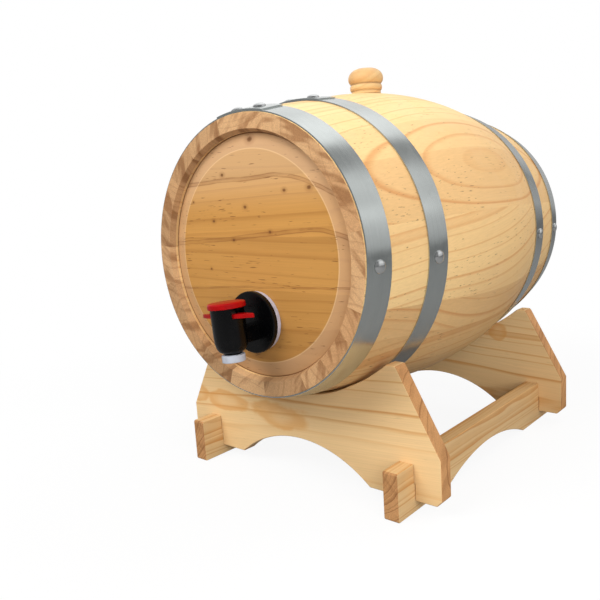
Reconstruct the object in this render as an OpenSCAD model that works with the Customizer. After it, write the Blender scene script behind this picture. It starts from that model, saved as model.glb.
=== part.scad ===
// Small wooden cask that dispenses drink from a soft bag through a lift tap, lying on a wooden cradle.
// The cask axis runs front to back along Y, the tap faces -Y, +Z is up and the floor is z = 0.
// All sizes are in millimetres.

/* [Cask] */
// Length of the cask along its axis
cask_len = 306; // [290:1:322]
// Outer radius of the staves at both ends
end_r = 99; // [96:0.5:102]
// How much larger the radius is at the belly
belly = 16; // [12:0.5:18]
// How far the staves swell above that curve between the two middle hoops
swell = 4.5; // [2:0.5:6]
// Thickness of a stave along its hollowed middle
stave_t = 12.6; // [12:0.1:13.6]
// Thickness of a stave at the chime
chime_t = 12.8; // [12:0.1:14]
// Radial width of the bevel inside the chime
chime_bevel = 1.6; // [0.8:0.1:2.4]
// Height of the cask axis above the floor
axis_h = 177; // [174:0.5:186]

/* [Heads] */
// Depth of the head face behind the chime
head_recess = 4.5; // [3.6:0.1:6]
// Thickness of a head
head_t = 10; // [9.5:0.1:12]
// Width of the bevel around a head
head_bevel_w = 10.9; // [8:0.1:14]
// Drop of that bevel at the rim
head_bevel_d = 2.2; // [1.2:0.1:3]
// Depth of the groove that holds a head
croze_d = 3.2; // [2.4:0.1:4]
// Width of that groove
croze_w = 5.2; // [4.4:0.1:5.6]
// Radius of the dowels between the head boards
dowel_r = 2.5; // [2:0.1:3]
// Length of those dowels
dowel_l = 18; // [14:0.5:20]
// Distance from the tap's axis down to the joint below it
low_joint = 20.5; // [19:0.5:22]
// Width of the head board that carries the tap
tap_board_w = 43; // [40:0.5:46]

/* [Hoops] */
// Width of a hoop
hoop_w = 20.5; // [17:0.5:23]
// Thickness of the hoop steel
hoop_t = 1.0; // [0.8:0.1:1.4]
// Distance from the chime to the end hoop
hoop_edge = 0.6; // [0.4:0.1:2]
// Distance from the chime to the second hoop
hoop_in = 56.9; // [56:0.5:62]
// Radius of a domed stud head
stud_r = 4.5; // [3.8:0.1:5.2]
// Height of a domed stud head
stud_h = 2.0; // [1.5:0.1:2.4]
// Radius of a stud shank
nail_r = 1.5; // [1.1:0.1:1.8]
// Depth of a nail in the wood
nail_l = 8; // [5:0.5:9]
// Angle of the side nails above the horizontal
nail_a = -2.5; // [-6:0.5:6]
// Angle where the overlap of a hoop starts
lap_a = 78; // [70:1:84]
// Angle that the overlap covers
lap_span = 25; // [22:1:30]

/* [Bung] */
// Distance of the bung in front of the middle
bung_fwd = 3; // [0:0.5:12]
// Radius of the knob
knob_r = 14.5; // [13.4:0.1:17]
// Height of the knob above the wood
knob_h = 21; // [18:0.5:25]
// Radius of the bung hole at the outer face
bung_hole_r = 12.2; // [10.4:0.1:12.6]

/* [Rear door] */
// Width of the rear ring around the door
ring_w = 16.2; // [14:0.1:22.2]
// Width of the lip that rests on the ring
lip_w = 5; // [3:0.1:7]
// Width of the middle door board
door_board_w = 50.4; // [44:0.2:56]
// Radius of the finger hole
finger_r = 11; // [9:0.5:13]
// Distance of the finger hole's centre from the top of the door
finger_in = 35; // [30:0.5:40]
// Thickness of the batten inside the door
batten_t = 8; // [6:0.5:10]
// Distance of the batten's ends from the side of the door
batten_in = 15.4; // [12:0.2:20]
// Distance of the screws from the ends of the batten and the board joints
screw_in = 12.6; // [10:0.2:15]
// Radius of a screw shank
screw_r = 1.6; // [1.2:0.1:2]

/* [Bag] */
// Height of the bag's crown above the cask axis
bag_crown = 18; // [8:1:26]
// Space around the bag
bag_gap = 0.5; // [0.3:0.1:2]

/* [Tap] */
// Height of the tap's axis above the lowest point of the neck
tap_rise = 41.2; // [40.2:0.1:44.2]
// Lean of the tap to the left, seen from the front
tap_turn = 5; // [0:0.5:8]
// Distance from the head face to the axis of the tap body
tap_reach = 28.5; // [27.5:0.5:32]
// Radius of the tap flange
flange_r = 22.2; // [21:0.1:24]
// Radius of the tap body
body_r = 11.7; // [11.3:0.1:12.2]
// Radius of the cap
cap_r = 13.2; // [12.9:0.1:14]
// Distance from the tap axis to a wing tip
wing_l = 25.3; // [23:0.1:29]
// Width of a wing
wing_w = 10.6; // [9:0.1:11.4]
// Travel of the lever
lift = 3.6; // [3:0.1:3.7]
// Radius of the plug that enters the gland
spigot_r = 12.5; // [12.2:0.1:12.9]
// Thickness of the collar in front of the head
collar_t = 4; // [3.4:0.1:5]

/* [Cradle] */
// Half the width of a cradle board
board_half = 123.3; // [120:0.5:130]
// Thickness of a cradle board
board_t = 12.4; // [10:0.1:13]
// Distance from the chime to a cradle board
board_in = 39.4; // [38:0.1:41]
// Height of a board's lower edge above the floor
board_lift = 7.9; // [5:0.1:10]
// Height of a board's upright side edge
shoulder_h = 41; // [38:0.5:50]
// Distance of the horn tops below the cask axis
horn_drop = 75.7; // [72:0.1:79]
// Width of a horn top
horn_w = 8.6; // [7:0.1:14]
// Width of the arch under a board
arch_w = 129; // [110:1:140]
// Height of that arch
arch_h = 24; // [16:0.5:28]
// Distance of a rail's outer face from the middle
rail_out = 102.3; // [99:0.1:106]
// Thickness of a rail
rail_t = 11.8; // [10:0.1:13]
// Height of a rail
rail_h = 34.5; // [31:0.5:38]
// Distance of a rail's end from the chime
rail_in = 18.6; // [12:0.1:26]
// Length of a rail's foot
rail_foot = 67; // [62:1:76]
// Height of the arch under a rail
rail_rise = 14.4; // [9:0.1:16]

/* [Hidden] */
$fn = 96;
arc_fn = 1440;

// Gaps of the moving and the loose fits
run_gap = 0.06;
fit_gap = 0.05;
door_gap = 0.15;

wood = [0.93, 0.77, 0.53];
pale = [0.95, 0.82, 0.6];
steel = [0.66, 0.68, 0.69];
black = [0.03, 0.03, 0.035];
red = [0.78, 0.03, 0.03];
white = [0.9, 0.9, 0.9];
film = [0.75, 0.76, 0.78];
rubber = [0.12, 0.12, 0.12];

// The stave face is one arc from end to end
half = cask_len / 2;
arc_r = (half * half + belly * belly) / (2 * belly);
arc_x = end_r + belly - arc_r;
neck_r = end_r - chime_t;
function face_r(z) = arc_x + sqrt(arc_r * arc_r - z * z);
function inner_r(z) = arc_x + sqrt(pow(arc_r - stave_t, 2) - z * z);

// Between the middle hoops a fuller arc rises from a small lip beside each hoop
swell_z = half - hoop_in - hoop_w - 0.1;
crest_r = face_r(0) + swell;
crest_t = stave_t + swell;
swell_sag = crest_r - face_r(swell_z) - 0.15;
swell_arc = (swell_z * swell_z + swell_sag * swell_sag) / (2 * swell_sag);

// The row's middle lies halfway between the tap's nose and the rear chime
nose = tap_reach + cap_r - head_recess;
mid_y = nose / 2;
front_y = mid_y - half;
rear_y = mid_y + half;
tap_z = axis_h - neck_r + tap_rise;

// Angles of the joints between the staves, from the right-hand side upwards
stave_angles = [11, 35, 50, 77, 103, 125, 142, 158, 175, 193, 213, 232, 252, 273, 297, 312, 328, 341];
function stave_a(i) = i < len(stave_angles) ? stave_angles[i] : stave_angles[i - len(stave_angles)] + 360;

// Hoop middles, measured from the cask's middle towards the front
hoop_z = [half - hoop_edge - hoop_w / 2, half - hoop_in - hoop_w / 2,
          -(half - hoop_in - hoop_w / 2), -(half - hoop_edge - hoop_w / 2)];
nail_angles = [nail_a, 180 - nail_a];
rivet_angles = [lap_a + lap_span * 0.26, lap_a + lap_span * 0.75];

// Heads: depths behind the chime
tongue_y = head_recess + head_bevel_d;
tongue_w = croze_w - 2 * fit_gap;
tongue_r = neck_r + croze_d - fit_gap;
head_flat_r = neck_r - head_bevel_w;
head_back = head_recess + head_t;
chime_land = tongue_y + croze_w + 4;
// Heights of the joints between the head boards, from the cask axis
low_z = tap_rise - neck_r - low_joint;
mid_z = low_z + tap_board_w;
head_top = [mid_z + (neck_r - mid_z) * 0.715, mid_z + (neck_r - mid_z) * 0.342, mid_z, low_z];

// Rear door
door_r = neck_r - ring_w;
lip_t = head_recess - 0.8;
batten_l = 2 * (door_r - batten_in);
batten_h = 24;
batten_z = -20;
door_cut = door_board_w / 2;
screw_x = [screw_in - batten_l / 2, screw_in - door_cut, door_cut - screw_in, batten_l / 2 - screw_in];
screw_l = batten_t + head_t * 0.6;
finger_z = door_r - finger_in;

// Gland and tap, along the gland axis from the head face
gland_in = spigot_r + run_gap;
gland_wall = 2.4;
gland_rim = 9;
gland_out = gland_in + gland_wall;
gland_flange = gland_out + gland_rim;
collar_r = flange_r - 0.7;
spigot_l = 9;
flange_t = 3.5;
flange_z = collar_t + 0.1;
ring_s = 0.9;
ring_z = -5;

// Tap heights, from the gland axis
cap_z = 14.2;
cap_h = 4;
top_z = 15.2;
seat_z = -12.5;
outlet_r = 6.1;
stub_z = -21.4;
wing_z = 7.4;
wing_t = 2.8;
hub_z = 8.6;
neck_z = -6.4;
bore_z = -5.6;
guide_r = 6.5;
well_r = body_r - 2.1;

// Cradle
saddle_r = face_r(half - board_in - board_t) + 0.1;
horn_h = axis_h - horn_drop;
horn_in = sqrt(pow(saddle_r + 4, 2) - horn_drop * horn_drop);
horn_x = horn_in + horn_w;
// A wider arc opens the saddle towards the horns
open_a = 27.5;
open_x = saddle_r * sin(open_a);
open_z = axis_h - saddle_r * cos(open_a);
wide_z = (pow(horn_in, 2) + pow(horn_h, 2) - pow(open_x, 2) - pow(open_z, 2)) / (2 * (horn_h - open_z));
wide_r = sqrt(pow(open_x, 2) + pow(open_z - wide_z, 2));
arch_r = (pow(arch_w / 2, 2) + arch_h * arch_h) / (2 * arch_h);
rail_arch = half - rail_in - rail_foot;
rail_r = (rail_arch * rail_arch + rail_rise * rail_rise) / (2 * rail_rise);
lap_z = board_lift + (rail_h - board_lift) * 0.46;

// Cask frame: local Z runs from the cask's middle to the front, local X is right and local Y is up
module around() {
    translate([0, mid_y, axis_h]) rotate([90, 0, 0]) children();
}

// Local Z stands out of the stave face at a hoop, at angle a
module on_face(a, z) {
    rotate([0, 0, a]) translate([arc_x, 0, 0]) rotate([0, -asin(z / arc_r), 0])
        translate([arc_r, 0, 0]) rotate([0, 90, 0]) children();
}

// Section between two arcs parallel to the stave face
module shell(low, high, z0, z1) {
    intersection() {
        difference() {
            translate([arc_x, 0]) circle(r = arc_r + high, $fn = arc_fn);
            translate([arc_x, 0]) circle(r = arc_r + low, $fn = arc_fn);
        }
        translate([end_r / 2, z0]) square([end_r, z1 - z0]);
    }
}

// Section of the thick end of a stave, with the groove and the inner bevel of the chime
module chime_end() {
    difference() {
        intersection() {
            polygon([[neck_r, half], [neck_r, half - chime_land],
                     [inner_r(half - chime_land - 5) + 1, half - chime_land - 5],
                     [end_r + 2, half - chime_land - 5], [end_r + 2, half]]);
            translate([arc_x, 0]) circle(r = arc_r, $fn = arc_fn);
        }
        translate([neck_r - 1, half - tongue_y - croze_w]) square([croze_d + 1, croze_w]);
        polygon([[neck_r - 1, half + 1], [neck_r + chime_bevel * 1.25, half + 1],
                 [neck_r, half - head_recess], [neck_r - 1, half - head_recess]]);
    }
}

module stave_section() {
    shell(-stave_t, 0, -half + chime_land + 4, half - chime_land - 4);
    intersection() {
        translate([crest_r - swell_arc, 0]) circle(r = swell_arc, $fn = arc_fn);
        translate([crest_r - crest_t / 2, -swell_z]) square([crest_t, 2 * swell_z]);
    }
    chime_end();
    mirror([0, 1]) chime_end();
}

module nail_pilots(r, l, from) {
    for (z = hoop_z, a = nail_angles)
        on_face(a, z) translate([0, 0, from]) cylinder(r = r, h = l, $fn = 24);
}

module rivet_holes(r) {
    for (z = hoop_z, a = rivet_angles)
        on_face(a, z) translate([0, 0, -0.5]) cylinder(r = r, h = 2 * hoop_t + 1, $fn = 24);
}

module bung_hole() {
    translate([0, mid_y - bung_fwd, axis_h + crest_r - crest_t - 4])
        cylinder(r1 = bung_hole_r - (crest_t + 4) * 0.08, r2 = bung_hole_r + 0.32, h = crest_t + 8);
}

module stave(i) {
    a = stave_a(i);
    w = stave_a(i + 1) - a;
    nailed = [for (n = nail_angles, t = [-360, 0, 360]) if (n + t > a - 2 && n + t < a + w + 2) 1];
    color(wood) difference() {
        around() rotate([0, 0, a]) rotate_extrude(angle = w) stave_section();
        if (len(nailed) > 0) around() nail_pilots(nail_r + fit_gap / 2, nail_l + 1, -nail_l - 0.2);
        if (a < 90 + 8 && a + w > 90 - 8) bung_hole();
    }
}

module stave_01() { stave(0); }
module stave_02() { stave(1); }
module stave_03() { stave(2); }
module stave_04() { stave(3); }
module stave_05() { stave(4); }
module stave_06() { stave(5); }
module stave_07() { stave(6); }
module stave_08() { stave(7); }
module stave_09() { stave(8); }
module stave_10() { stave(9); }
module stave_11() { stave(10); }
module stave_12() { stave(11); }
module stave_13() { stave(12); }
module stave_14() { stave(13); }
module stave_15() { stave(14); }
module stave_16() { stave(15); }
module stave_17() { stave(16); }
module stave_18() { stave(17); }

// A head's section: inner radius r0, bevelled rim and a tongue for the groove
module head_section(r0) {
    polygon([[r0, half - head_recess], [head_flat_r, half - head_recess],
             [neck_r - 0.3, half - tongue_y - fit_gap], [tongue_r, half - tongue_y - fit_gap],
             [tongue_r, half - tongue_y - fit_gap - tongue_w],
             [neck_r - 1, half - tongue_y - fit_gap - tongue_w],
             [neck_r - 6, half - head_back], [r0, half - head_back]]);
}

module head_dowel_holes(r, l) {
    for (h = head_top, s = [-1, 1])
        translate([s * 0.45 * sqrt(neck_r * neck_r - h * h), front_y + head_recess + head_t * 0.55,
                   axis_h + h - l / 2])
            cylinder(r = r, h = l, $fn = 32);
}

module head_board(low, high) {
    color(wood) difference() {
        intersection() {
            around() rotate_extrude() head_section(0);
            translate([-end_r, front_y, axis_h + low]) cube([2 * end_r, 2 * head_back, high - low]);
        }
        head_dowel_holes(dowel_r + fit_gap, dowel_l + 1);
        at_gland() translate([0, 0, -head_t - 1]) cylinder(r = gland_out + 0.1, h = head_t + 2);
    }
}

module head_board_1() { head_board(head_top[0], end_r); }
module head_board_2() { head_board(head_top[1], head_top[0]); }
module head_board_3() { head_board(head_top[2], head_top[1]); }
module head_board_4() { head_board(head_top[3], head_top[2]); }
module head_board_5() { head_board(-end_r, head_top[3]); }
module head_dowels() { color(pale) head_dowel_holes(dowel_r, dowel_l); }

// A hoop: a band on the stave face whose two ends overlap
module hoop(i) {
    z = hoop_z[i];
    color(steel) around() difference() {
        union() {
            rotate_extrude() shell(0, hoop_t, z - hoop_w / 2, z + hoop_w / 2);
            rotate([0, 0, lap_a]) rotate_extrude(angle = lap_span)
                shell(hoop_t / 2, 2 * hoop_t, z - hoop_w / 2, z + hoop_w / 2);
        }
        for (a = nail_angles) on_face(a, z) translate([0, 0, -1])
            cylinder(r = nail_r + fit_gap, h = 4, $fn = 24);
        for (a = rivet_angles) on_face(a, z) translate([0, 0, -1])
            cylinder(r = nail_r + fit_gap, h = 5, $fn = 24);
    }
}

module hoop_1() { hoop(0); }
module hoop_2() { hoop(1); }
module hoop_3() { hoop(2); }
module hoop_4() { hoop(3); }

// Domed stud with its shank below z = 0
module stud(shank) {
    dome = (stud_r * stud_r + stud_h * stud_h) / (2 * stud_h);
    rotate_extrude($fn = 48) {
        intersection() {
            translate([0, stud_h - dome]) circle(r = dome, $fn = 192);
            square([stud_r, stud_h]);
        }
        translate([0, -shank]) square([nail_r, shank + stud_h / 2]);
    }
}

module hoop_nails() {
    color(steel) around() for (z = hoop_z, a = nail_angles)
        on_face(a, z) translate([0, 0, hoop_t]) stud(nail_l + hoop_t);
}

module hoop_rivets() {
    color(steel) around() for (z = hoop_z, a = rivet_angles)
        on_face(a, z) translate([0, 0, 2 * hoop_t]) stud(2 * hoop_t - 0.05);
}

module rear_ring() {
    color(wood) around() mirror([0, 0, 1]) rotate_extrude() head_section(door_r);
}

// Turned knob on a tapered shank; z = 0 is the top of the stave
module bung() {
    s = knob_h / 21;
    wide = knob_r / 14.5;
    r_in = bung_hole_r - crest_t * 0.08;
    color(wood) translate([0, mid_y - bung_fwd, axis_h + crest_r]) rotate_extrude()
        polygon(concat(
            [[0, -crest_t - 2], [r_in - fit_gap - 1.2, -crest_t - 2], [r_in - fit_gap - 0.1, -crest_t - 0.5],
             [bung_hole_r - fit_gap, 0], [bung_hole_r - fit_gap, 1.8 * s], [bung_hole_r, 2.8 * s]],
            [for (t = [-60:20:60]) [12.5 * wide + 0.8 * cos(t), 5.6 * s + 2.2 * s * sin(t)]],
            [[12.4 * wide, 8.1 * s]],
            [for (t = [-34:12:86])
                [5 * wide + 9.5 * wide * cos(t), 12.8 * s + (t < 0 ? 7.1 : 8.2) * s * sin(t)]],
            [[0, 21 * s]]));
}

// Door: lip outside the ring, plug inside it
module door_disc() {
    around() translate([0, 0, -half + head_recess - lip_t]) {
        cylinder(r = door_r + lip_w, h = lip_t - fit_gap);
        cylinder(r = door_r - door_gap, h = lip_t + head_t);
    }
}

module door_screw_holes(r, l) {
    for (x = screw_x) translate([x, rear_y - head_back - batten_t, axis_h + batten_z])
        rotate([-90, 0, 0]) cylinder(r = r, h = l, $fn = 32);
}

module door_board(x0, x1) {
    color(wood) difference() {
        intersection() {
            door_disc();
            translate([x0, rear_y - 2 * head_back, axis_h - end_r])
                cube([x1 - x0, 3 * head_back, 2 * end_r]);
        }
        translate([0, rear_y + 1, axis_h + finger_z]) rotate([90, 0, 0])
            cylinder(r = finger_r, h = 2 * head_back);
        door_screw_holes(screw_r + fit_gap / 2, screw_l + 0.5);
    }
}

module door_board_1() { door_board(-end_r, -door_cut); }
module door_board_2() { door_board(-door_cut, door_cut); }
module door_board_3() { door_board(door_cut, end_r); }

module door_batten() {
    color(pale) difference() {
        translate([-batten_l / 2, rear_y - head_back - batten_t, axis_h + batten_z - batten_h / 2])
            cube([batten_l, batten_t, batten_h]);
        door_screw_holes(screw_r + fit_gap, batten_t + 1);
        for (x = screw_x) translate([x, rear_y - head_back - batten_t - 0.01, axis_h + batten_z])
            rotate([-90, 0, 0])
                cylinder(r1 = 2 * screw_r + fit_gap, r2 = screw_r + fit_gap, h = 2, $fn = 32);
    }
}

module door_screws() {
    color(steel) for (x = screw_x) translate([x, rear_y - head_back - batten_t, axis_h + batten_z])
        rotate([-90, 0, 0]) {
            cylinder(r1 = 2 * screw_r, r2 = screw_r, h = 2, $fn = 32);
            cylinder(r = screw_r, h = screw_l, $fn = 32);
        }
}

// Gland frame: local Z runs forward out of the head face
module at_gland() {
    translate([0, front_y + head_recess, tap_z]) rotate([90, 0, 0]) children();
}

// The bag fills the lower half of the cask, with a crowned top
module bag() {
    y0 = head_back + 2.3;
    y1 = head_back + batten_t + 5;
    c = 14;
    r_end = inner_r(half - chime_land - 8) - bag_gap;
    crown_r = 1.7 * end_r;
    color(film) intersection() {
        around() rotate_extrude() intersection() {
            difference() {
                translate([0, -half + y1]) square([2 * end_r, cask_len - y0 - y1]);
                for (s = [-1, 1]) {
                    zc = s > 0 ? half - y0 : -half + y1;
                    difference() {
                        translate([neck_r - c - 2, s > 0 ? zc - c : zc - 1]) square([2 * c, c + 1]);
                        translate([neck_r - c - 2, zc - s * c]) circle(r = c);
                    }
                }
            }
            translate([arc_x, 0]) circle(r = arc_r - stave_t - bag_gap, $fn = arc_fn);
        }
        translate([0, rear_y, axis_h + bag_crown - crown_r]) rotate([90, 0, 0])
            cylinder(r = crown_r, h = cask_len, $fn = 360);
    }
}

module gland() {
    color(white) at_gland() rotate_extrude()
        polygon([[gland_in, -head_t - 2.2], [gland_flange, -head_t - 2.2], [gland_flange, -head_t - 0.1],
                 [gland_out, -head_t - 0.1], [gland_out, 1.2], [gland_out - 0.8, 1.2],
                 [gland_out - 0.8, collar_t - 1.2], [gland_out, collar_t - 1.2], [gland_out, collar_t],
                 [gland_in, collar_t]]);
}

module gland_collar() {
    r = gland_out + fit_gap;
    color(white) at_gland() rotate_extrude()
        polygon([[r, 0], [collar_r, 0], [collar_r, collar_t - 0.8], [collar_r - 0.8, collar_t],
                 [r, collar_t], [r, collar_t - 1.25], [r - 0.75, collar_t - 1.25],
                 [r - 0.75, 1.25], [r, 1.25]]);
}

// Tap frame: local Z leans with the tap, local -Y runs forward
module at_tap() {
    translate([0, front_y + head_recess, tap_z]) rotate([0, -tap_turn, 0]) children();
}

module at_body() {
    at_tap() translate([0, -tap_reach, 0]) children();
}

module tap_body() {
    color(black) difference() {
        union() {
            at_tap() rotate([90, 0, 0]) {
                translate([0, 0, flange_z]) cylinder(r = flange_r, h = flange_t - 0.6);
                translate([0, 0, flange_z + flange_t - 0.6])
                    cylinder(r1 = flange_r, r2 = flange_r - 0.6, h = 0.6);
                translate([0, 0, -spigot_l]) cylinder(r = spigot_r, h = spigot_l + flange_z + 1);
            }
            at_tap() translate([-6.4, -tap_reach, neck_z - 5.4])
                cube([12.8, tap_reach - flange_z - 1, 10.8]);
            at_body() rotate_extrude() polygon(concat(
                [[0, stub_z], [outlet_r, stub_z], [outlet_r, -17]],
                [for (t = [0:15:90])
                    [outlet_r + 0.6 + (body_r - outlet_r - 0.6) * sin(t), -6.5 - 10 * cos(t)]],
                [[body_r, top_z], [0, top_z]]));
        }
        at_body() rotate_extrude() polygon([[0, stub_z - 1], [4.5, stub_z - 1], [4.5, seat_z],
            [guide_r, seat_z], [guide_r, 2], [well_r, 2], [well_r, top_z + 1], [0, top_z + 1]]);
        at_tap() rotate([90, 0, 0]) {
            translate([0, 0, -spigot_l - 1]) cylinder(r = 9.3, h = spigot_l + flange_z + 1);
            translate([0, bore_z, 0]) cylinder(r = 3, h = tap_reach, $fn = 48);
            translate([0, 0, ring_z - ring_s - 0.1]) difference() {
                cylinder(r = spigot_r + 1, h = 2 * ring_s + 0.2);
                translate([0, 0, -1]) cylinder(r = spigot_r - 2 * ring_s, h = 2 * ring_s + 3);
            }
        }
        at_body() translate([-body_r - 1, -wing_w / 2 - 0.3, wing_z - 0.2])
            cube([2 * body_r + 2, wing_w + 0.6, wing_t + lift + 0.4]);
    }
}

module tap_cap() {
    color(red) at_body() rotate_extrude()
        polygon([[body_r + fit_gap, cap_z], [cap_r, cap_z], [cap_r, cap_z + cap_h - 0.9],
                 [cap_r - 0.3, cap_z + cap_h - 0.3], [cap_r - 0.9, cap_z + cap_h], [0, cap_z + cap_h],
                 [0, top_z + 0.02], [body_r + fit_gap, top_z + 0.02]]);
}

module outlet_ring() {
    color(white) at_body() rotate_extrude()
        polygon([[outlet_r + fit_gap, stub_z + 3.8], [outlet_r + 1.6, stub_z + 3.8],
                 [outlet_r + 2.1, stub_z + 3.2],
                 [outlet_r + 2.1, stub_z - 1.5], [4.6, stub_z - 1.5], [4.6, stub_z - 0.05],
                 [outlet_r + fit_gap, stub_z - 0.05]]);
}

module tap_seal() {
    color(rubber) at_tap() rotate([90, 0, 0]) translate([0, 0, ring_z])
        rotate_extrude() translate([gland_in - 0.03 - ring_s, 0]) circle(r = ring_s, $fn = 32);
}

// Elastic dome that pushes the lever down
module return_dome() {
    color(rubber) at_body() rotate_extrude($fn = 64)
        polygon([[5.4, hub_z + 0.05], [6.3, hub_z + 0.05], [6.2, hub_z + 1.4], [3.7, top_z - 1.1],
                 [3.7, top_z], [2.6, top_z], [2.6, top_z - 1.5], [5.3, hub_z + 1]]);
}

module lever() {
    // Both wings are one lens with trimmed tips
    lens_r = (pow(wing_l + 1.2, 2) + pow(wing_w / 2, 2)) / wing_w;
    color(red) at_body() {
        rotate_extrude() polygon([[0, seat_z + 0.6], [1.6, seat_z + 0.6], [1.6, seat_z + 3.1],
            [2.6, seat_z + 3.1], [2.6, -2.2], [guide_r - run_gap, -2.2], [guide_r - run_gap, 1.6],
            [3.4, 1.6], [3.4, 3], [well_r - 0.3, 4], [well_r - 0.3, hub_z], [0, hub_z]]);
        difference() {
            translate([0, 0, wing_z]) intersection() {
                translate([0, lens_r - wing_w / 2, 0]) cylinder(r = lens_r, h = wing_t, $fn = 360);
                translate([0, wing_w / 2 - lens_r, 0]) cylinder(r = lens_r, h = wing_t, $fn = 360);
                cylinder(r = wing_l, h = wing_t, $fn = 180);
            }
            translate([0, 0, hub_z]) cylinder(r = 7, h = wing_t);
        }
    }
}

module valve_seal() {
    color(rubber) at_body() rotate_extrude($fn = 64)
        polygon([[0, seat_z + 0.05], [5.9, seat_z + 0.05], [5.9, seat_z + 2.2], [5.2, seat_z + 3.05],
                 [1.65, seat_z + 3.05], [1.65, seat_z + 0.55], [0, seat_z + 0.55]]);
}

// Cradle board: horns, saddle, arch and two notches for the rails
module cradle_board(y0) {
    ch = 4.4;
    color(pale) translate([0, y0 + board_t, 0]) rotate([90, 0, 0]) linear_extrude(board_t) difference() {
        polygon([[-board_half, board_lift + ch], [-board_half + ch, board_lift],
                 [board_half - ch, board_lift], [board_half, board_lift + ch],
                 [board_half, shoulder_h], [horn_x, horn_h - 1.2], [horn_x - 1.4, horn_h],
                 [-horn_x + 1.4, horn_h], [-horn_x, horn_h - 1.2], [-board_half, shoulder_h]]);
        translate([0, axis_h]) circle(r = saddle_r, $fn = 360);
        translate([0, wide_z]) circle(r = wide_r, $fn = 360);
        translate([0, board_lift + arch_h - arch_r]) circle(r = arch_r, $fn = 360);
        for (s = [-1, 1]) translate([s * (rail_out - rail_t / 2) - rail_t / 2 - fit_gap, 0])
            square([rail_t + 2 * fit_gap, lap_z]);
    }
}

module cradle_board_front() { cradle_board(front_y + board_in); }
module cradle_board_rear() { cradle_board(rear_y - board_in - board_t); }

// Cradle rail: two feet, an arch and two notches for the boards
module cradle_rail(x0) {
    ch = 1;
    len = cask_len - 2 * rail_in;
    color(pale) translate([x0, mid_y, 0]) rotate([90, 0, 90]) linear_extrude(rail_t) difference() {
        polygon([[-len / 2, ch], [-len / 2 + ch, 0], [len / 2 - ch, 0], [len / 2, ch],
                 [len / 2, rail_h - ch], [len / 2 - ch, rail_h], [-len / 2 + ch, rail_h],
                 [-len / 2, rail_h - ch]]);
        translate([0, rail_rise - rail_r]) circle(r = rail_r, $fn = 360);
        for (s = [-1, 1]) translate([s * (half - board_in - board_t / 2) - board_t / 2 - fit_gap, lap_z])
            square([board_t + 2 * fit_gap, rail_h]);
    }
}

module cradle_rail_left() { cradle_rail(-rail_out); }
module cradle_rail_right() { cradle_rail(rail_out - rail_t); }

stave_01();
stave_02();
stave_03();
stave_04();
stave_05();
stave_06();
stave_07();
stave_08();
stave_09();
stave_10();
stave_11();
stave_12();
stave_13();
stave_14();
stave_15();
stave_16();
stave_17();
stave_18();
head_board_1();
head_board_2();
head_board_3();
head_board_4();
head_board_5();
head_dowels();
hoop_1();
hoop_2();
hoop_3();
hoop_4();
hoop_nails();
hoop_rivets();
rear_ring();
bag();
gland();
gland_collar();
bung();
door_board_1();
door_board_2();
door_board_3();
door_batten();
door_screws();
tap_body();
tap_cap();
outlet_ring();
tap_seal();
return_dome();
lever();
valve_seal();
cradle_board_front();
cradle_board_rear();
cradle_rail_left();
cradle_rail_right();
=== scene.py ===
"""Finishes a small table cask: bent pine staves, jointed heads, riveted hoops, a lift tap and a cradle.

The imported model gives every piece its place. The operators below make the finished pieces around it, and
the studio that they are seen in. All lengths are metres, +Z is up and the tap faces -Y.
"""

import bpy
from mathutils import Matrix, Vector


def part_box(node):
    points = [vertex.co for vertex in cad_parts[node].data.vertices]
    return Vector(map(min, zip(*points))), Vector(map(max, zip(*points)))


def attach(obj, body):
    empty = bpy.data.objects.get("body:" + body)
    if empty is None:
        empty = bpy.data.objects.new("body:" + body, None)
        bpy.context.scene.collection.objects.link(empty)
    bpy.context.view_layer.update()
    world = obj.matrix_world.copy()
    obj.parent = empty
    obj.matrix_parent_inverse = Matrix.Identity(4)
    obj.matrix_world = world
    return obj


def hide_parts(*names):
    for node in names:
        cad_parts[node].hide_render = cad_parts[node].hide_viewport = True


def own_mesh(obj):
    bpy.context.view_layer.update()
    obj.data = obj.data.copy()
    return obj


bl_info = {
    "name": "Small Cask Dispenser",
    "version": (1, 0, 0),
    "blender": (4, 5, 0),
    "location": "3D View > Sidebar > Cask",
    "description": "Makes and finishes the staves, heads, hoops, tap and cradle of a small table cask",
    "category": "Object",
}

import math
from typing import NamedTuple

import bmesh
import bpy
from bpy.props import FloatProperty, FloatVectorProperty, PointerProperty
from mathutils import Matrix, Vector, noise
from mathutils.bvhtree import BVHTree

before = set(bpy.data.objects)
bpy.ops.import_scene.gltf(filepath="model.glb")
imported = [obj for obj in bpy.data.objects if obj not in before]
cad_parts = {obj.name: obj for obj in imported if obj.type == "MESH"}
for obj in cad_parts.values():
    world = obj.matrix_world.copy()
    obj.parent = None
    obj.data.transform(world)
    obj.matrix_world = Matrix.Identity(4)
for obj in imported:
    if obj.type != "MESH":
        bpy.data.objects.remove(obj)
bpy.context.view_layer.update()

MM = 0.001
RIGHT, FRONT, BACK, UP = (1, 0, 0), (0, -1, 0), (0, 1, 0), (0, 0, 1)

# Points closer than this are one point, and faces within this angle are one face
WELD, FLAT = 2e-6, math.radians(0.05)

# A face is a cut end where its normal lies this nearly along the grain
CUT_ACROSS = 0.6


def centre_of(node):
    """Middle of a node's box."""
    low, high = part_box(node)
    return (low + high) / 2


def hexed(code):
    """A colour written as six hexadecimal digits, as linear red, green and blue."""
    parts = [int(code[i:i + 2], 16) / 255 for i in (0, 2, 4)]
    return tuple(p / 12.92 if p <= 0.04045 else ((p + 0.055) / 1.055) ** 2.4 for p in parts)


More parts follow.
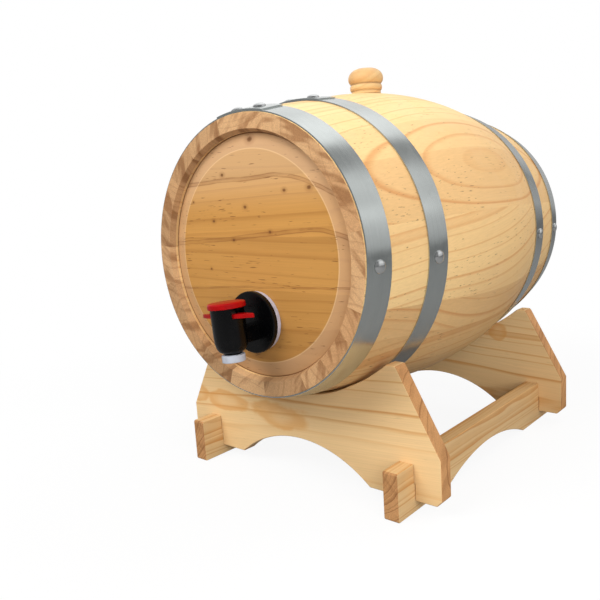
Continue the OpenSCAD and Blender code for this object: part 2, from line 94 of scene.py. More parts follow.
STAVE_LOW, STAVE_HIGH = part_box("stave_01")
LENGTH_Y = STAVE_HIGH.y - STAVE_LOW.y
MIDDLE_Y = (STAVE_HIGH.y + STAVE_LOW.y) / 2
AXIS_Z = centre_of("rear_ring").z
GLAND = centre_of("gland")
BUNG = centre_of("bung")


# ---------------------------------------------------------------- sizes and colours

def length(name, description, default):
    """A length that a user may change."""
    return FloatProperty(name=name, description=description, default=default, min=0.0,
                         precision=4, subtype="DISTANCE", unit="LENGTH")


def colour(name, description, code):
    """A colour that a user may change."""
    return FloatVectorProperty(name=name, description=description, default=hexed(code), size=3,
                               min=0.0, max=1.0, subtype="COLOR")


def turn(name, description, degrees):
    """An angle that a user may change."""
    return FloatProperty(name=name, description=description, default=math.radians(degrees),
                         subtype="ANGLE", unit="ROTATION")


class CaskSizes(bpy.types.PropertyGroup):
    """Sizes of the wood, the steel and the tap."""
    cask_length: length("Cask length", "Length of the staves from chime to chime", LENGTH_Y)
    end_radius: length("End radius", "Outer radius of the staves at the chimes", 0.099)
    belly: length("Belly", "How much larger the radius is at the middle", 0.016)
    swell: length("Swell", "How far the staves swell above that curve between the middle hoops", 0.0045)
    stave_thickness: length("Stave thickness", "Thickness along the hollowed middle", 0.0126)
    chime_thickness: length("Chime thickness", "Thickness of a stave at its ends", 0.0128)
    chime_bevel: length("Chime bevel", "Width of the bevel inside the chime", 0.0020)
    head_recess: length("Head recess", "Depth of the head behind the chime", 0.0045)
    groove_depth: length("Groove depth", "Depth of the groove that holds a head", 0.0032)
    groove_width: length("Groove width", "Width of the groove that holds a head", 0.0052)
    wood_edge: length("Wood edge", "Rounding of the sawn and sanded edges", 0.00002)
    cradle_edge: length("Cradle edge", "Rounding of the cradle's edges", 0.0009)
    hoop_width: length("Hoop width", "Width of a hoop", 0.0205)
    hoop_thickness: length("Hoop thickness", "Thickness of the hoop steel", 0.001)
    hoop_edge: length("Hoop edge", "Distance from the chime to the end hoop", 0.0006)
    hoop_inset: length("Hoop inset", "Distance from the chime to the second hoop", 0.0569)
    lap_start: turn("Lap start", "Angle where the overlap of a hoop starts", 78)
    lap_sweep: turn("Lap sweep", "Angle that the overlap covers", 25)
    nail_angle: turn("Nail angle", "Angle of the side nails above the horizontal", -2.5)
    stud_radius: length("Stud radius", "Radius of a domed stud head", 0.0045)
    stud_height: length("Stud height", "Height of a domed stud head", 0.0020)
    head_field: length("Head field", "Radius of the head's flat inside its bevel", 0.0753)
    bung_hole: length("Bung hole", "Radius of the bung hole at the outer face", 0.0122)
    plastic_edge: length("Plastic edge", "Rounding of the moulded edges", 0.0004)
    tap_reach: length("Tap reach", "Distance from the head face to the axis of the tap body", 0.0285)
    tap_lean: turn("Tap lean", "Lean of the tap to the left, seen from the front", 5)
    dome_foot: length("Dome foot", "Height of the return dome's foot above the tap's axis", 0.00865)
    dome_top: length("Dome top", "Height of the return dome's top above the tap's axis", 0.0152)
    bag_mesh: length("Bag mesh", "Size of the film's even mesh", 0.005)
    bag_slack: length("Bag slack", "How much smaller the empty film starts", 0.003)
    bag_travel: length("Bag travel", "How far the film may swell", 0.008)
    bag_crease: length("Bag crease", "Depth of the creases in the film", 0.0014)


class CaskFinishes(bpy.types.PropertyGroup):
    """Colours of the wood, the steel, the plastics and the bag."""
    stave_early: colour("Stave early wood", "Pale wood between the rings of a stave", "F3CF93")
    stave_late: colour("Stave late wood", "Dark line of a stave's rings", "C9762E")
    head_early: colour("Head early wood", "Pale wood of the heads", "C28D49")
    head_late: colour("Head late wood", "Dark line of the heads' rings", "8C5220")
    head_top: colour("Head top", "Paler wood near the top of the heads", "DCBA92")
    cradle_early: colour("Cradle early wood", "Pale wood of the cradle", "F1CE98")
    cradle_late: colour("Cradle late wood", "Dark line of the cradle's rings", "D08A3C")
    end_early: colour("End grain", "Wood cut across its fibres", "D2A87A")
    cradle_end: colour("Cradle end grain", "Cut ends of the cradle's boards", "D29C68")
    # The end grain line's colour also paints the shade in the bung's grooves
    end_late: colour("End grain line", "Dark line of the rings where they are cut across", "845028")
    patch: colour("Warm patch", "Orange patches of the cradle's boards", "DE9C50")
    # The resin fleck's colour also paints the shade in the corner of the front head against the staves
    fleck: colour("Resin fleck", "Short dark dashes along the fibres", "6A3F20")
    steel: colour("Hoop steel", "Galvanised band of the hoops", "CBD0CE")
    stud_steel: colour("Stud steel", "Domed heads of the studs", "DADCDC")
    black: colour("Black plastic", "Tap body", "050506")
    red: colour("Red plastic", "Cap and lever of the tap", "A00609")
    white: colour("White plastic", "Gland and collar", "BDB9C6")
    rim: colour("Head rim", "Paler wood of the head's bevel", "CBA27A")
    # Painted highlight: a pale line along the inner edge of the head's bevel
    edge_highlight: colour("Painted edge highlight", "Pale line painted along an edge as a highlight", "F2CF9E")
    clear: colour("Clear plastic", "Outlet ring", "CFD3DD")
    rubber: colour("Seal rubber", "Seals inside the tap", "24211F")
    film: colour("Bag film", "Metallised film of the bag", "C9CBD0")


class CaskStudio(bpy.types.PropertyGroup):
    """Light and camera."""
    lens: FloatProperty(name="Lens", description="Focal length on a 36 mm sensor", default=40.003,
                        min=1.0, unit="CAMERA")
    camera_place: FloatVectorProperty(name="Camera place", description="Where the camera stands",
                                      default=(0.33335, -0.45924, 0.2215), size=3,
                                      subtype="TRANSLATION", unit="LENGTH")
    camera_azimuth: turn("Camera azimuth", "Turn of the camera to the right of the front", 41.648)
    camera_elevation: turn("Camera elevation", "How far the camera looks down", 9.299)
    camera_roll: turn("Camera roll", "Turn of the picture about its centre", -3.755)
    key: FloatProperty(name="Key light", description="Power of the large light above", default=14.5,
                       min=0.0, subtype="POWER", unit="POWER")
    fill: FloatProperty(name="Fill light", description="Power of the light at the camera's side",
                        default=12.3, min=0.0, subtype="POWER", unit="POWER")
    back: FloatProperty(name="Back light", description="Power of the light above and behind", default=6.5,
                        min=0.0, subtype="POWER", unit="POWER")
    sky: FloatProperty(name="Sky", description="Strength of the room's own light", default=0.45, min=0.0)
    floor_half: length("Floor", "Half the width of the floor", 6.0)


def cask():
    """The sizes in use."""
    return bpy.context.scene.cask_sizes


def finish():
    """The colours in use."""
    return bpy.context.scene.cask_finishes


# ---------------------------------------------------------------- node trees

def feed(inputs, values):
    """Links or sets inputs, which are given by name or number."""
    for key, value in values.items():
        if isinstance(value, bpy.types.NodeSocket):
            value.id_data.links.new(value, inputs[key])
        elif value is not None:
            inputs[key].default_value = value


def node(tree, kind, inputs=None, **settings):
    """Adds a node, sets its options and feeds its inputs."""
    made = tree.nodes.new(kind)
    for option, value in settings.items():
        setattr(made, option, value)
    feed(made.inputs, inputs or {})
    return made


def tree_of(*values):
    """The node tree of the first socket among some values."""
    return next(value.id_data for value in values if isinstance(value, bpy.types.NodeSocket))


def maths(operation, a, b=None, c=None, clamp=False):
    """One Math node; gives its result."""
    return node(tree_of(a, b, c), "ShaderNodeMath", {0: a, 1: b, 2: c},
                operation=operation, use_clamp=clamp).outputs[0]


def plus(a, b, clamp=False):
    """Two values added together."""
    return maths("ADD", a, b, clamp=clamp)


def less(a, b):
    """The first value without the second."""
    return maths("SUBTRACT", a, b)


def times(a, b, clamp=False):
    """Two values multiplied."""
    return maths("MULTIPLY", a, b, clamp=clamp)


def over(a, b):
    """The first value divided by the second."""
    return maths("DIVIDE", a, b)


def times_plus(a, b, c):
    """Two values multiplied, and a third added."""
    return maths("MULTIPLY_ADD", a, b, c)


def vectors(operation, a, b=None, scale=None):
    """One Vector Math node; gives its vector, or its value where that is one number."""
    made = node(tree_of(a, b, scale), "ShaderNodeVectorMath", {0: a, 1: b, "Scale": scale}, operation=operation)
    return made.outputs["Value" if operation in ("LENGTH", "DOT_PRODUCT") else "Vector"]


def scaled(vector, scale):
    """A vector or a colour times one number."""
    return vectors("SCALE", vector, scale=scale)


def split(vector):
    """The three parts of a vector."""
    return node(vector.id_data, "ShaderNodeSeparateXYZ", {0: vector}).outputs


def joined(x=None, y=None, z=None):
    """A vector from its parts."""
    return node(tree_of(x, y, z), "ShaderNodeCombineXYZ", {"X": x, "Y": y, "Z": z}).outputs[0]


def ramp(value, low, high, to_low=0.0, to_high=1.0, smooth=True):
    """Maps a value from one range to another, clamped."""
    return node(value.id_data, "ShaderNodeMapRange", {
        "Value": value, "From Min": low, "From Max": high, "To Min": to_low, "To Max": to_high},
        interpolation_type="SMOOTHSTEP" if smooth else "LINEAR").outputs["Result"]


def blend(amount, a, b):
    """Mixes two colours."""
    a, b = (c if isinstance(c, bpy.types.NodeSocket) else (*c, 1.0) for c in (a, b))
    return node(tree_of(amount, a, b), "ShaderNodeMix", {0: amount, 6: a, 7: b}, data_type="RGBA").outputs[2]


def cloud(point, scale, detail=2.0, rough=0.5, spread=0.0):
    """A Noise Texture, near 0.5 on average. A scale of three numbers differs along the three axes."""
    if isinstance(scale, tuple):
        point, scale = vectors("MULTIPLY", point, scale), 1.0
    return node(point.id_data, "ShaderNodeTexNoise", {
        "Vector": point, "Scale": scale, "Detail": detail, "Roughness": rough, "Distortion": spread}).outputs[0]


def wobble(point, scale, detail=2.0):
    """A cloud that swings about zero."""
    return less(cloud(point, scale, detail), 0.5)


SOCKET_KINDS = {float: "Float", int: "Int", bool: "Bool", tuple: "Vector"}


def new_group(name, kind, inputs, outputs):
    """A node group whose inputs are given by a default or a kind; gives its tree, inputs and outputs."""
    tree = bpy.data.node_groups.new(name, kind)
    for label, given in inputs.items():
        plain = isinstance(given, str)
        made = tree.interface.new_socket(
            label, in_out="INPUT", socket_type="NodeSocket" + (given if plain else SOCKET_KINDS[type(given)]))
        if not plain:
            made.default_value = given
    result = "Geometry" if kind == "GeometryNodeTree" else "Float"
    for label in outputs:
        tree.interface.new_socket(label, in_out="OUTPUT", socket_type="NodeSocket" + result)
    return tree, tree.nodes.new("NodeGroupInput").outputs, tree.nodes.new("NodeGroupOutput").inputs


# ---------------------------------------------------------------- shared shader groups

# How often each feature of a log changes in a metre: across it, along it and in depth
RING_WANDER = (22, 4.2, 22)
RING_RIPPLE = (130, 14, 130)
FIBRES = (1100, 16, 1100)
RESIN_DASHES = (1150, 105, 1150)
RESIN_PATCHES = (30, 9, 30)
WOOD_TONE = (18, 2.5, 18)

# The same for the fibres of a dowel and the streaks of rolled steel, along the three axes of the piece
DOWEL_FIBRES = (900, 40, 60)
STEEL_STREAKS = (9, 950, 9)


def pine_figure_group():
    """Growth rings, fibres and resin flecks of pine, cut from a log whose heart is the Y axis."""
    tree, given, out = new_group(
        "Pine Figure", "ShaderNodeTree",
        {"Log Point": "Vector", "Ring Gap": 0.005, "Wander": 0.002, "Line Width": 0.35, "Fleck Amount": 0.5},
        ("Late Wood", "Fibre", "Fleck", "Tone", "Height"))
    point, wander = given["Log Point"], given["Wander"]
    # The rings wander slowly along the log and a little faster across it
    reach = plus(vectors("LENGTH", vectors("MULTIPLY", point, (1, 0, 1))),
                 times(wobble(point, RING_WANDER), times(wander, 4.0)))
    reach = plus(reach, times(wobble(point, RING_RIPPLE), times(wander, 0.55)))
    years = over(reach, given["Ring Gap"])
    widths = node(tree, "ShaderNodeTexNoise", {"W": years, "Scale": 0.8, "Detail": 1.0}, noise_dimensions="1D")
    years = plus(years, times(widths.outputs[0], 1.6))
    # Each year darkens slowly and ends sharply, some years more than others
    part, turn_of_year = maths("FRACT", years), 0.93
    rise = ramp(part, less(turn_of_year + 0.04, given["Line Width"]), turn_of_year)
    fall = ramp(part, turn_of_year, 1.0, 1.0, 0.0)
    year = node(tree, "ShaderNodeTexWhiteNoise", {"W": maths("FLOOR", years)}, noise_dimensions="1D")
    late = times(times(rise, fall), ramp(year.outputs["Value"], 0.0, 1.0, 0.3, 1.0))
    fibre = cloud(point, FIBRES, 3.0, 0.65)
    # Short resin dashes gather in patches
    gathered = times(ramp(cloud(point, RESIN_PATCHES, 1.0), 0.40, 0.62), 0.06)
    dash = plus(cloud(point, RESIN_DASHES, 1.0, 0.4), gathered)
    fleck = times(ramp(dash, 0.73, 0.80), given["Fleck Amount"], clamp=True)
    height = less(plus(times(late, 0.5), times(fibre, 0.5)), times(fleck, 0.7))
    feed(out, {"Late Wood": late, "Fibre": fibre, "Fleck": fleck, "Tone": cloud(point, WOOD_TONE),
               "Height": height})


def handling_group():
    """Uneven sheen of a surface that has been wiped and handled, with fine scratches."""
    _, given, out = new_group("Handling", "ShaderNodeTree",
                              {"Point": "Vector", "Smear Size": 40.0, "Grit Size": 900.0}, ("Smear", "Grit"))
    smear = cloud(given["Point"], given["Smear Size"], 3.0, 0.6, 0.4)
    feed(out, {"Smear": ramp(smear, 0.35, 0.65), "Grit": cloud(given["Point"], given["Grit Size"])})


def knot_group():
    """A small round pin knot with a dark heart, at a place on the wood."""
    _, given, out = new_group("Pin Knot", "ShaderNodeTree",
                              {"Point": "Vector", "Place": "Vector", "Radius": 0.0015}, ("Heart", "Halo"))
    away = vectors("MULTIPLY", vectors("SUBTRACT", given["Point"], given["Place"]), (0.75, 0.25, 1.0))
    ragged = times(wobble(given["Point"], 900.0), 0.9 * MM)
    reach = over(plus(vectors("LENGTH", away), ragged), given["Radius"])
    feed(out, {"Heart": ramp(reach, 0.35, 1.0, 1.0, 0.0), "Halo": ramp(reach, 0.7, 2.3, 1.0, 0.0)})


def dark_band_group():
    """A broad ring cut lengthways: two dark edges with a paler core, level at first and then falling away."""
    _, given, out = new_group(
        "Dark Band", "ShaderNodeTree",
        {"Point": "Vector", "Height": 0.0, "Slope": 0.0, "Fall Start": 0.0, "Fall": 0.0, "Half Width": 0.0012},
        ("Band",))
    point, spot = given["Point"], split(given["Point"])
    past = maths("MAXIMUM", less(spot["X"], given["Fall Start"]), 0.0)
    line = times_plus(spot["X"], given["Slope"], given["Height"])
    line = less(line, times(times(past, past), given["Fall"]))
    line = times_plus(wobble(point, 28.0), 4 * MM, line)
    away = over(maths("ABSOLUTE", less(spot["Z"], line)), given["Half Width"])
    core = ramp(away, 0.9, 1.9, 0.5, 0.0)
    edge = ramp(maths("ABSOLUTE", less(away, 1.0)), 0.0, 0.5, 0.6, 0.0)
    faint = ramp(cloud(point, (45, 45, 160)), 0.35, 0.6, 0.45, 1.0)
    feed(out, {"Band": times(plus(core, edge), faint, clamp=True)})


def warm_patch_group():
    """A ragged orange patch where the saw has grazed a ring, deepest near its rim."""
    _, given, out = new_group("Warm Patch", "ShaderNodeTree",
                              {"Point": "Vector", "Place": "Vector", "Spread": (30.0, 50.0, 100.0)}, ("Patch",))
    away = vectors("MULTIPLY", vectors("SUBTRACT", given["Point"], given["Place"]), given["Spread"])
    reach = times_plus(wobble(given["Point"], (40, 40, 70), 3.0), 1.1, vectors("LENGTH", away))
    feed(out, {"Patch": times(ramp(reach, 0.2, 0.85, 0.35, 1.0), ramp(reach, 0.85, 1.1, 1.0, 0.0))})


# ---------------------------------------------------------------- materials

def place_group(tree, name, inputs):
    """Places a shader group with its own values; gives its outputs."""
    return node(tree, "ShaderNodeGroup", inputs, node_tree=bpy.data.node_groups[name]).outputs


def attribute(tree, name, kind="Vector"):
    """What the mesh has stored under a name."""
    return node(tree, "ShaderNodeAttribute", attribute_name=name).outputs[kind]


def bump(height, distance, strength):
    """A Bump node over a height; gives its normal."""
    return node(height.id_data, "ShaderNodeBump",
                {"Height": height, "Distance": distance, "Strength": strength}).outputs[0]


def bare_tree(owner):
    """Empties the nodes of a new material or world; gives its tree."""
    owner.use_nodes = True
    owner.node_tree.nodes.clear()
    return owner.node_tree


def new_material(name, smear, grit):
    """A material with one Principled shader; gives its tree, the shader's inputs, the place and the wear."""
    tree = bare_tree(bpy.data.materials.new(name))
    shader = node(tree, "ShaderNodeBsdfPrincipled")
    node(tree, "ShaderNodeOutputMaterial", {"Surface": shader.outputs[0]})
    place = node(tree, "ShaderNodeTexCoord").outputs["Object"]
    wear = place_group(tree, "Handling", {"Point": place, "Smear Size": smear, "Grit Size": grit})
    return tree, shader.inputs, place, wear


def slanting_bands(at_log):
    """Broad uneven bands that slant across a cut end, as the heart of the wood drinks the finish."""
    turned = joined(vectors("DOT_PRODUCT", at_log, (92, 0, 84)), vectors("DOT_PRODUCT", at_log, (-16, 6, 20)))
    return ramp(cloud(turned, 1.0, 2.0, 0.55), 0.46, 0.62)


def pine_material(name, early, late, ring_gap, wander, line_width, flecks, lines, depth=0.05, face=None,
                  end=None, slant=0.6, lacquer=0.05):
    """Sanded pine: early and late wood, fibres, resin flecks and a darker end grain with slanting bands."""
    f = finish()
    tree, shader, place, wear = new_material(name, 28.0, 1200.0)
    at_log, cut = attribute(tree, "log_point"), attribute(tree, "end_grain", "Fac")
    rings, board_warmth, board_shade = split(attribute(tree, "board_look"))
    figure = place_group(tree, "Pine Figure", {
        "Log Point": at_log, "Ring Gap": times(rings, ring_gap), "Wander": wander,
        "Line Width": over(line_width, rings), "Fleck Amount": flecks})
    late_wood, tone = figure["Late Wood"], figure["Tone"]
    # Warm zones and dark lines on the long faces
    warmth = plus(board_warmth, ramp(tone, 0.35, 0.75, 0.22, -0.05), clamp=True)
    tint = blend(times(warmth, 0.55), early, late)
    tint = blend(times(late_wood, lines), tint, late)
    tint = scaled(tint, ramp(figure["Fibre"], 0.3, 0.7, 0.95, 1.03))
    # Cut ends drink the finish and show the rings as arcs
    ends = blend(times(warmth, 0.4), end or f.end_early, late)
    ends = blend(times(late_wood, 0.9 - slant), ends, f.end_late)
    ends = blend(times(slanting_bands(at_log), slant), ends, f.end_late)
    ends = scaled(ends, ramp(cloud(place, 1500.0, 2.0, 0.7), 0.35, 0.7, 0.82, 1.05))
    tint = blend(cut, tint, ends)
    if face:
        tint = face(place, tint)
    tint = scaled(tint, times(board_shade, ramp(tone, 0.3, 0.7, 1 - depth, 1 + depth * 0.7)))
    tint = blend(times(figure["Fleck"], times_plus(cut, -0.5, 0.8)), tint, f.fleck)
    feed(shader, {
        "Base Color": tint,
        "Roughness": times_plus(cut, 0.15, ramp(wear["Smear"], 0, 1, 0.44, 0.57)),
        "Normal": bump(times_plus(wear["Grit"], 0.25, figure["Height"]), 0.12 * MM, 0.6),
        "Specular IOR Level": 0.3, "Coat Weight": lacquer, "Coat Roughness": 0.3})


def bung_groove_shade(place, tint):
    """Painted shade in the turned grooves of the bung: dark bands at given depths under its top."""
    height, top = split(place)["Z"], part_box("bung")[1].z
    # Painted shade: a dark band at each groove, where shade falls in it
    for depth, half, amount in BUNG_GROOVE_SHADE:
        away = maths("ABSOLUTE", less(height, top - depth * MM))
        tint = blend(ramp(away, 0.2 * MM, half * MM, amount, 0.0), tint, finish().end_late)
    return tint


def head_face(place, tint):
    """The front head's paler top, dark bands, pin knots and paler bevel, with a painted highlight along the
    bevel's inner edge and painted shade in the corner against the staves.
    """
    f, s, tree = finish(), cask(), place.id_data
    spot = split(place)
    level = joined(x=spot["X"], z=less(spot["Z"], AXIS_Z))
    tint = blend(ramp(spot["Z"], AXIS_Z + 28 * MM, AXIS_Z + 66 * MM, 0.0, 0.42), tint, f.head_top)
    out = vectors("LENGTH", level)
    tint = blend(ramp(out, s.head_field - 0.2 * MM, s.head_field + 0.2 * MM, 0.0, 0.65), tint, f.rim)
    for height, slope, start, fall, half in HEAD_BANDS:
        band = place_group(tree, "Dark Band", {
            "Point": level, "Height": height * MM, "Slope": slope, "Fall Start": start * MM,
            "Fall": fall / MM, "Half Width": half * MM})["Band"]
        tint = blend(times(band, 0.62), tint, f.end_late)
    for x, z, radius in HEAD_KNOTS:
        knot = place_group(tree, "Pin Knot", {
            "Point": level, "Place": (x * MM, 0, z * MM), "Radius": radius * MM})
        tint = blend(times(knot["Halo"], 0.3), tint, f.end_late)
        tint = blend(times(knot["Heart"], 0.85), tint, f.fleck)
    # Painted highlight: a pale line along the inner edge of the bevel
    tint = blend(ramp(maths("ABSOLUTE", less(out, s.head_field)), 0.1 * MM, 0.6 * MM, 0.4, 0.0), tint, f.edge_highlight)
    # Painted shade: a dark line in the corner against the staves, where the head meets the chime
    neck = s.end_radius - s.chime_thickness
    return blend(ramp(out, neck - 1.3 * MM, neck - 0.4 * MM, 0.0, 0.8), tint, f.fleck)


def cradle_face(place, tint):
    """The orange patches of the cradle's boards."""
    for x, y, z, wide, high in CRADLE_PATCHES:
        patch = place_group(place.id_data, "Warm Patch", {
            "Point": place, "Place": (x * MM, y * MM, z * MM),
            "Spread": (1 / (wide * MM), 1 / (25 * MM), 1 / (high * MM))})["Patch"]
        tint = blend(times(patch, 0.6), tint, finish().patch)
    return tint


def dowel_material(name, early, late):
    """Turned pine dowels, with fibres along the board's thickness."""
    _, shader, place, wear = new_material(name, 60.0, 1500.0)
    fibre = cloud(place, DOWEL_FIBRES, 3.0, 0.6)
    feed(shader, {"Base Color": blend(ramp(fibre, 0.4, 0.75, 0.0, 0.6), early, late),
                  "Roughness": ramp(wear["Smear"], 0, 1, 0.5, 0.62), "Normal": bump(fibre, 0.08 * MM, 0.5)})


def metal_material(name, tint, rough, streaks, spangle):
    """Rolled and galvanised steel: fine streaks round the band and a faint crystal pattern."""
    tree, shader, place, wear = new_material(name, 55.0, 1600.0)
    line = cloud(place, STEEL_STREAKS, 3.0, 0.6)
    cells = node(tree, "ShaderNodeTexVoronoi", {"Vector": place, "Scale": 170.0}).outputs["Color"]
    crystal = node(tree, "ShaderNodeSeparateColor", {"Color": cells}).outputs[0]
    shade = times(ramp(crystal, 0, 1, 1.0 - spangle, 1.0, smooth=False),
                  ramp(line, 0.3, 0.7, 1.0 - streaks, 1.0))
    shade = times(shade, ramp(wear["Smear"], 0, 1, 0.96, 1.0))
    sheen = ramp(wear["Smear"], 0, 1, rough - 0.03, rough + 0.03)
    feed(shader, {
        "Base Color": scaled(tuple(tint), shade), "Metallic": 1.0,
        "Roughness": times_plus(less(line, 0.5), 0.08, sheen),
        "Normal": bump(times_plus(wear["Grit"], 0.3, line), 0.02 * MM, 0.35)})


def moulded_material(name, tint, rough, grit=0.02, gloss=0.5, clear=0.0, soft=0.0):
    """Moulded plastic or rubber with an uneven sheen; the grit's depth is in millimetres."""
    _, shader, _, wear = new_material(name, 90.0, 2400.0)
    feed(shader, {
        "Base Color": scaled(tuple(tint), ramp(wear["Smear"], 0, 1, 0.9, 1.06)),
        "Roughness": ramp(wear["Smear"], 0, 1, rough, rough + 0.06),
        "Normal": bump(wear["Grit"], grit * MM, 0.5),
        "Specular IOR Level": gloss, "Transmission Weight": clear, "Subsurface Weight": soft,
        "Subsurface Radius": (4 * MM, 4 * MM, 4 * MM), "Subsurface Scale": 0.5})


def film_material(name, tint):
    """Crinkled metallised film."""
    tree, shader, place, wear = new_material(name, 35.0, 900.0)
    folds, fine = (node(tree, "ShaderNodeTexVoronoi", {"Vector": place, "Scale": scale}).outputs["Distance"]
                   for scale in (60.0, 210.0))
    feed(shader, {
        "Base Color": scaled(tuple(tint), ramp(wear["Smear"], 0, 1, 0.88, 1.0)), "Metallic": 0.85,
        "Roughness": ramp(wear["Smear"], 0, 1, 0.24, 0.36),
        "Normal": bump(times_plus(fine, 0.35, folds), 1.2 * MM, 0.8)})


# Dark bands of the front head in millimetres: height above the axis at the middle, slope, where it starts
# to fall away and how fast, half width
HEAD_BANDS = ((55.6, 0.03, 20, 0.0059, 1.15), (15.5, 0.07, 45, 0.0058, 1.2), (-21.3, 0.04, 95, 0.0, 0.55))

# Pin knots of the front head in millimetres: right of the axis, above it, radius
HEAD_KNOTS = ((-26.2, 59.0, 1.5), (32.7, 45.5, 1.4), (54.4, 46.3, 1.8), (-5.2, 35.6, 1.5), (-38.9, 26.5, 1.4),
              (17.2, 18.0, 1.4), (-19.1, 12.5, 1.3), (2.8, 81.3, 2.4), (-60.0, 41.0, 0.9), (-46.0, -9.0, 1.0))

# Painted shade in the grooves of the bung, in millimetres: depth under its top, half width of the shaded band,
# and its strength
BUNG_GROOVE_SHADE = ((12.9, 1.3, 0.5), (18.3, 1.0, 0.38), (21.0, 0.9, 0.6))

# Orange patches of the cradle in millimetres: place, half width and half height
CRADLE_PATCHES = ((-118, -101, 52, 16, 9), (-80, -101, 49, 26, 9), (-20, -101, 47, 34, 10),
                  (65, 120, 78, 9, 8), (-40, 120, 60, 30, 9))


def make_finishes():
    """Builds every material once, from the colours in use."""
    if "Stave Pine" in bpy.data.materials:
        return
    for build in (pine_figure_group, handling_group, knot_group, dark_band_group, warm_patch_group):
        build()
    f = finish()
    pine_material("Stave Pine", f.stave_early, f.stave_late, ring_gap=0.0052, wander=0.0011, line_width=0.42,
                  flecks=0.7, lines=0.5)
    pine_material("Bung Pine", f.stave_early, f.stave_late, ring_gap=0.009, wander=0.0011, line_width=0.42,
                  flecks=0.05, lines=0.35, face=bung_groove_shade, lacquer=0.4)
    pine_material("Head Pine", f.head_early, f.head_late, ring_gap=0.0085, wander=0.0012, line_width=0.4,
                  flecks=0.85, lines=0.3, depth=0.1, face=head_face)
    pine_material("Door Pine", f.head_early, f.head_late, ring_gap=0.0085, wander=0.0012, line_width=0.4,
                  flecks=0.6, lines=0.35, depth=0.1)
    pine_material("Cradle Pine", f.cradle_early, f.cradle_late, ring_gap=0.0072, wander=0.003, line_width=0.3,
                  flecks=0.12, lines=0.75, face=cradle_face, end=f.cradle_end, slant=0.25)
    dowel_material("Dowel Pine", f.cradle_early, f.cradle_late)
    metal_material("Hoop Steel", f.steel, rough=0.22, streaks=0.05, spangle=0.03)
    metal_material("Stud Steel", f.stud_steel, rough=0.18, streaks=0.03, spangle=0.02)
    moulded_material("Black Plastic", f.black, 0.24, gloss=0.25)
    moulded_material("Red Plastic", f.red, 0.3, gloss=0.2, soft=0.03)
    moulded_material("White Plastic", f.white, 0.35, soft=0.3)
    moulded_material("Clear Plastic", f.clear, 0.18, clear=0.3, soft=0.2)
    moulded_material("Seal Rubber", f.rubber, 0.6, grit=0.05)
    film_material("Bag Film", f.film)


# ---------------------------------------------------------------- making and placing pieces

def new_object(name, data):
    """An object in the scene that holds a mesh, a lamp or a camera."""
    made = bpy.data.objects.new(name, data)
    bpy.context.scene.collection.objects.link(made)
    return made


def copy_of(cad_node, name):
    """A copy of a CAD node whose loose triangles are merged and whose flat faces are whole again."""
    work = bmesh.new()
    work.from_mesh(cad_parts[cad_node].data)
    bmesh.ops.remove_doubles(work, verts=work.verts, dist=WELD)
    bmesh.ops.dissolve_limit(work, angle_limit=FLAT, verts=work.verts, edges=work.edges)
    mesh = bpy.data.meshes.new(name)
    work.to_mesh(mesh)
    work.free()
    mesh.materials.clear()
    return new_object(name, mesh)


def smooth(piece):
    """Shades every face of a piece smooth."""
    for face in piece.data.polygons:
        face.use_smooth = True
    return piece


def soften(piece, width, segments=2, angle=32, crease=None):
    """Rounds the sharp edges of a piece with a Bevel modifier and shades it smooth up to the crease angle."""
    smooth(piece)
    piece.data.set_sharp_from_angle(angle=math.radians(crease or angle))
    rounding = piece.modifiers.new("Rounded edges", "BEVEL")
    rounding.width = width
    rounding.segments = segments
    rounding.limit_method = "ANGLE"
    rounding.angle_limit = math.radians(angle)
    rounding.harden_normals = True
    rounding.use_clamp_overlap = True
    return piece


def coat(piece, material):
    """Gives a piece its one material."""
    piece.data.materials.clear()
    piece.data.materials.append(bpy.data.materials[material])
    return piece


def settle(piece, body, slot, *nodes):
    """Fixes a piece to its body and hides the nodes that it stands for. The slot is not used."""
    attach(piece, body)
    if nodes:
        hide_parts(*nodes)


class Log(NamedTuple):
    """How a board was sawn from its log.

    The heart lies across the board and under its face, in millimetres, and drifts sideways and in depth
    by so many millimetres in a metre. Rings, warmth and shade set the board off from its neighbours.
    """
    across: float
    under: float
    drift: float = 0
    dip: float = 0
    rings: float = 1
    warmth: float = 0
    shade: float = 1


def give_grain(piece, origin, across, along, out, log, shift, ends=True):
    """Stores where each point of a board lies in its log, its look, and which faces are cut ends."""
    mesh = piece.data
    spots = mesh.attributes.new("log_point", "FLOAT_VECTOR", "POINT")
    looks = mesh.attributes.new("board_look", "FLOAT_VECTOR", "POINT")
    across, along, out = (Vector(way).normalized() for way in (across, along, out))
    for vertex, spot, look in zip(mesh.vertices, spots.data, looks.data):
        at = vertex.co - Vector(origin)
        far = at.dot(along)
        spot.vector = (at.dot(across) - log.across * MM - log.drift * MM * far, far + shift,
                       at.dot(out) + log.under * MM - log.dip * MM * far)
        look.vector = (log.rings, log.warmth, log.shade)
    cuts = mesh.attributes.new("end_grain", "FLOAT", "FACE")
    for face, cut in zip(mesh.polygons, cuts.data):
        cut.value = 1.0 if ends and abs(face.normal.dot(along)) > CUT_ACROSS else 0.0


def evaluated_mesh(piece):
    """The mesh of an object with its modifiers applied."""
    depsgraph = bpy.context.evaluated_depsgraph_get()
    return bpy.data.meshes.new_from_object(piece.evaluated_get(depsgraph), preserve_all_data_layers=True,
                                           depsgraph=depsgraph)


